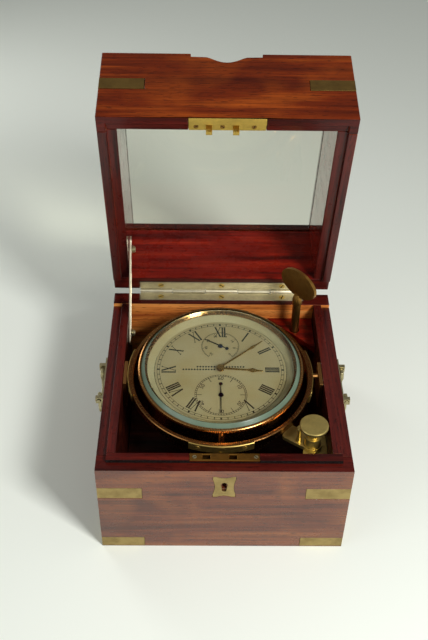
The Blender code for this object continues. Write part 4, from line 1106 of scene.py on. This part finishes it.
class CHRONOMETER_OT_stage(bpy.types.Operator):
    """Sets the floor, the lights and the camera"""

    bl_idname = "chronometer.stage"
    bl_label = "Stage"

    def execute(self, context):
        scene = context.scene
        scene.view_settings.view_transform = "Standard"
        bm = bmesh.new()
        bmesh.ops.create_grid(bm, x_segments=1, y_segments=1, size=3.0)
        mesh = bpy.data.meshes.new("floor")
        bm.to_mesh(mesh)
        bm.free()
        floor = linked("floor", mesh)
        mesh.materials.append(new_finish("floor_paint", tuple(studio().floor), roughness=0.9)[0])
        world = bpy.data.worlds.new("room")
        world.use_nodes = True
        sky = world.node_tree.nodes["Background"]
        sky.inputs["Color"].default_value = (0.92, 0.95, 0.93, 1.0)
        sky.inputs["Strength"].default_value = studio().sky
        scene.world = world
        area_light("key_light", (0.50, -0.62, 0.80), (0.0, -0.10, 0.05), 0.24, studio().key)
        area_light("fill_light", (-0.7, -0.5, 0.5), (0, 0, 0.1), 0.6, studio().fill)
        area_light("top_light", (-0.60, 0.62, 0.45), (0, 0, 0.1), 0.30, studio().top)
        lens = bpy.data.cameras.new("camera")
        lens.sensor_width, lens.lens = 36.0, studio().lens
        camera = linked("camera", lens)
        camera.matrix_world = (
            Matrix.Translation(CAMERA_PLACE)
            @ Matrix.Rotation(CAMERA_YAW, 4, "Z")
            @ Matrix.Rotation(TURN / 4 - CAMERA_DOWN, 4, "X")
            @ Matrix.Rotation(CAMERA_ROLL, 4, "Z")
        )
        scene.camera = camera
        return {"FINISHED"}


# ---- add-on ----
SETTINGS = {
    "chronometer_wood": WoodSettings,
    "chronometer_metal": MetalSettings,
    "chronometer_dial": DialSettings,
    "chronometer_stage": StageSettings,
}
OPERATORS = (
    CHRONOMETER_OT_base,
    CHRONOMETER_OT_lid,
    CHRONOMETER_OT_straps,
    CHRONOMETER_OT_hinge,
    CHRONOMETER_OT_lock,
    CHRONOMETER_OT_handles,
    CHRONOMETER_OT_stay,
    CHRONOMETER_OT_gimbal,
    CHRONOMETER_OT_gimbal_lock,
    CHRONOMETER_OT_winding_key,
    CHRONOMETER_OT_bowl,
    CHRONOMETER_OT_dial,
    CHRONOMETER_OT_hands,
    CHRONOMETER_OT_movement,
    CHRONOMETER_OT_stage,
)


class CHRONOMETER_PT_panel(bpy.types.Panel):
    """Lists the pieces and their settings"""

    bl_idname = "CHRONOMETER_PT_panel"
    bl_label = "Marine Chronometer"
    bl_space_type = "VIEW_3D"
    bl_region_type = "UI"
    bl_category = "Chronometer"

    def draw(self, context):
        column = self.layout.column()
        for name, group in SETTINGS.items():
            column.label(text=group.__doc__)
            settings = getattr(context.scene, name)
            for key in group.__annotations__:
                column.prop(settings, key)
        for operator in OPERATORS:
            column.operator(operator.bl_idname)


def register():
    for kind in (*SETTINGS.values(), *OPERATORS, CHRONOMETER_PT_panel):
        bpy.utils.register_class(kind)
    for name, group in SETTINGS.items():
        setattr(bpy.types.Scene, name, PointerProperty(type=group))


def unregister():
    for name in SETTINGS:
        delattr(bpy.types.Scene, name)
    for kind in reversed((*SETTINGS.values(), *OPERATORS, CHRONOMETER_PT_panel)):
        bpy.utils.unregister_class(kind)


def main():
    register()
    for operator in OPERATORS:
        group, name = operator.bl_idname.split(".")
        getattr(getattr(bpy.ops, group), name)()


if __name__ == "__main__":
    main()
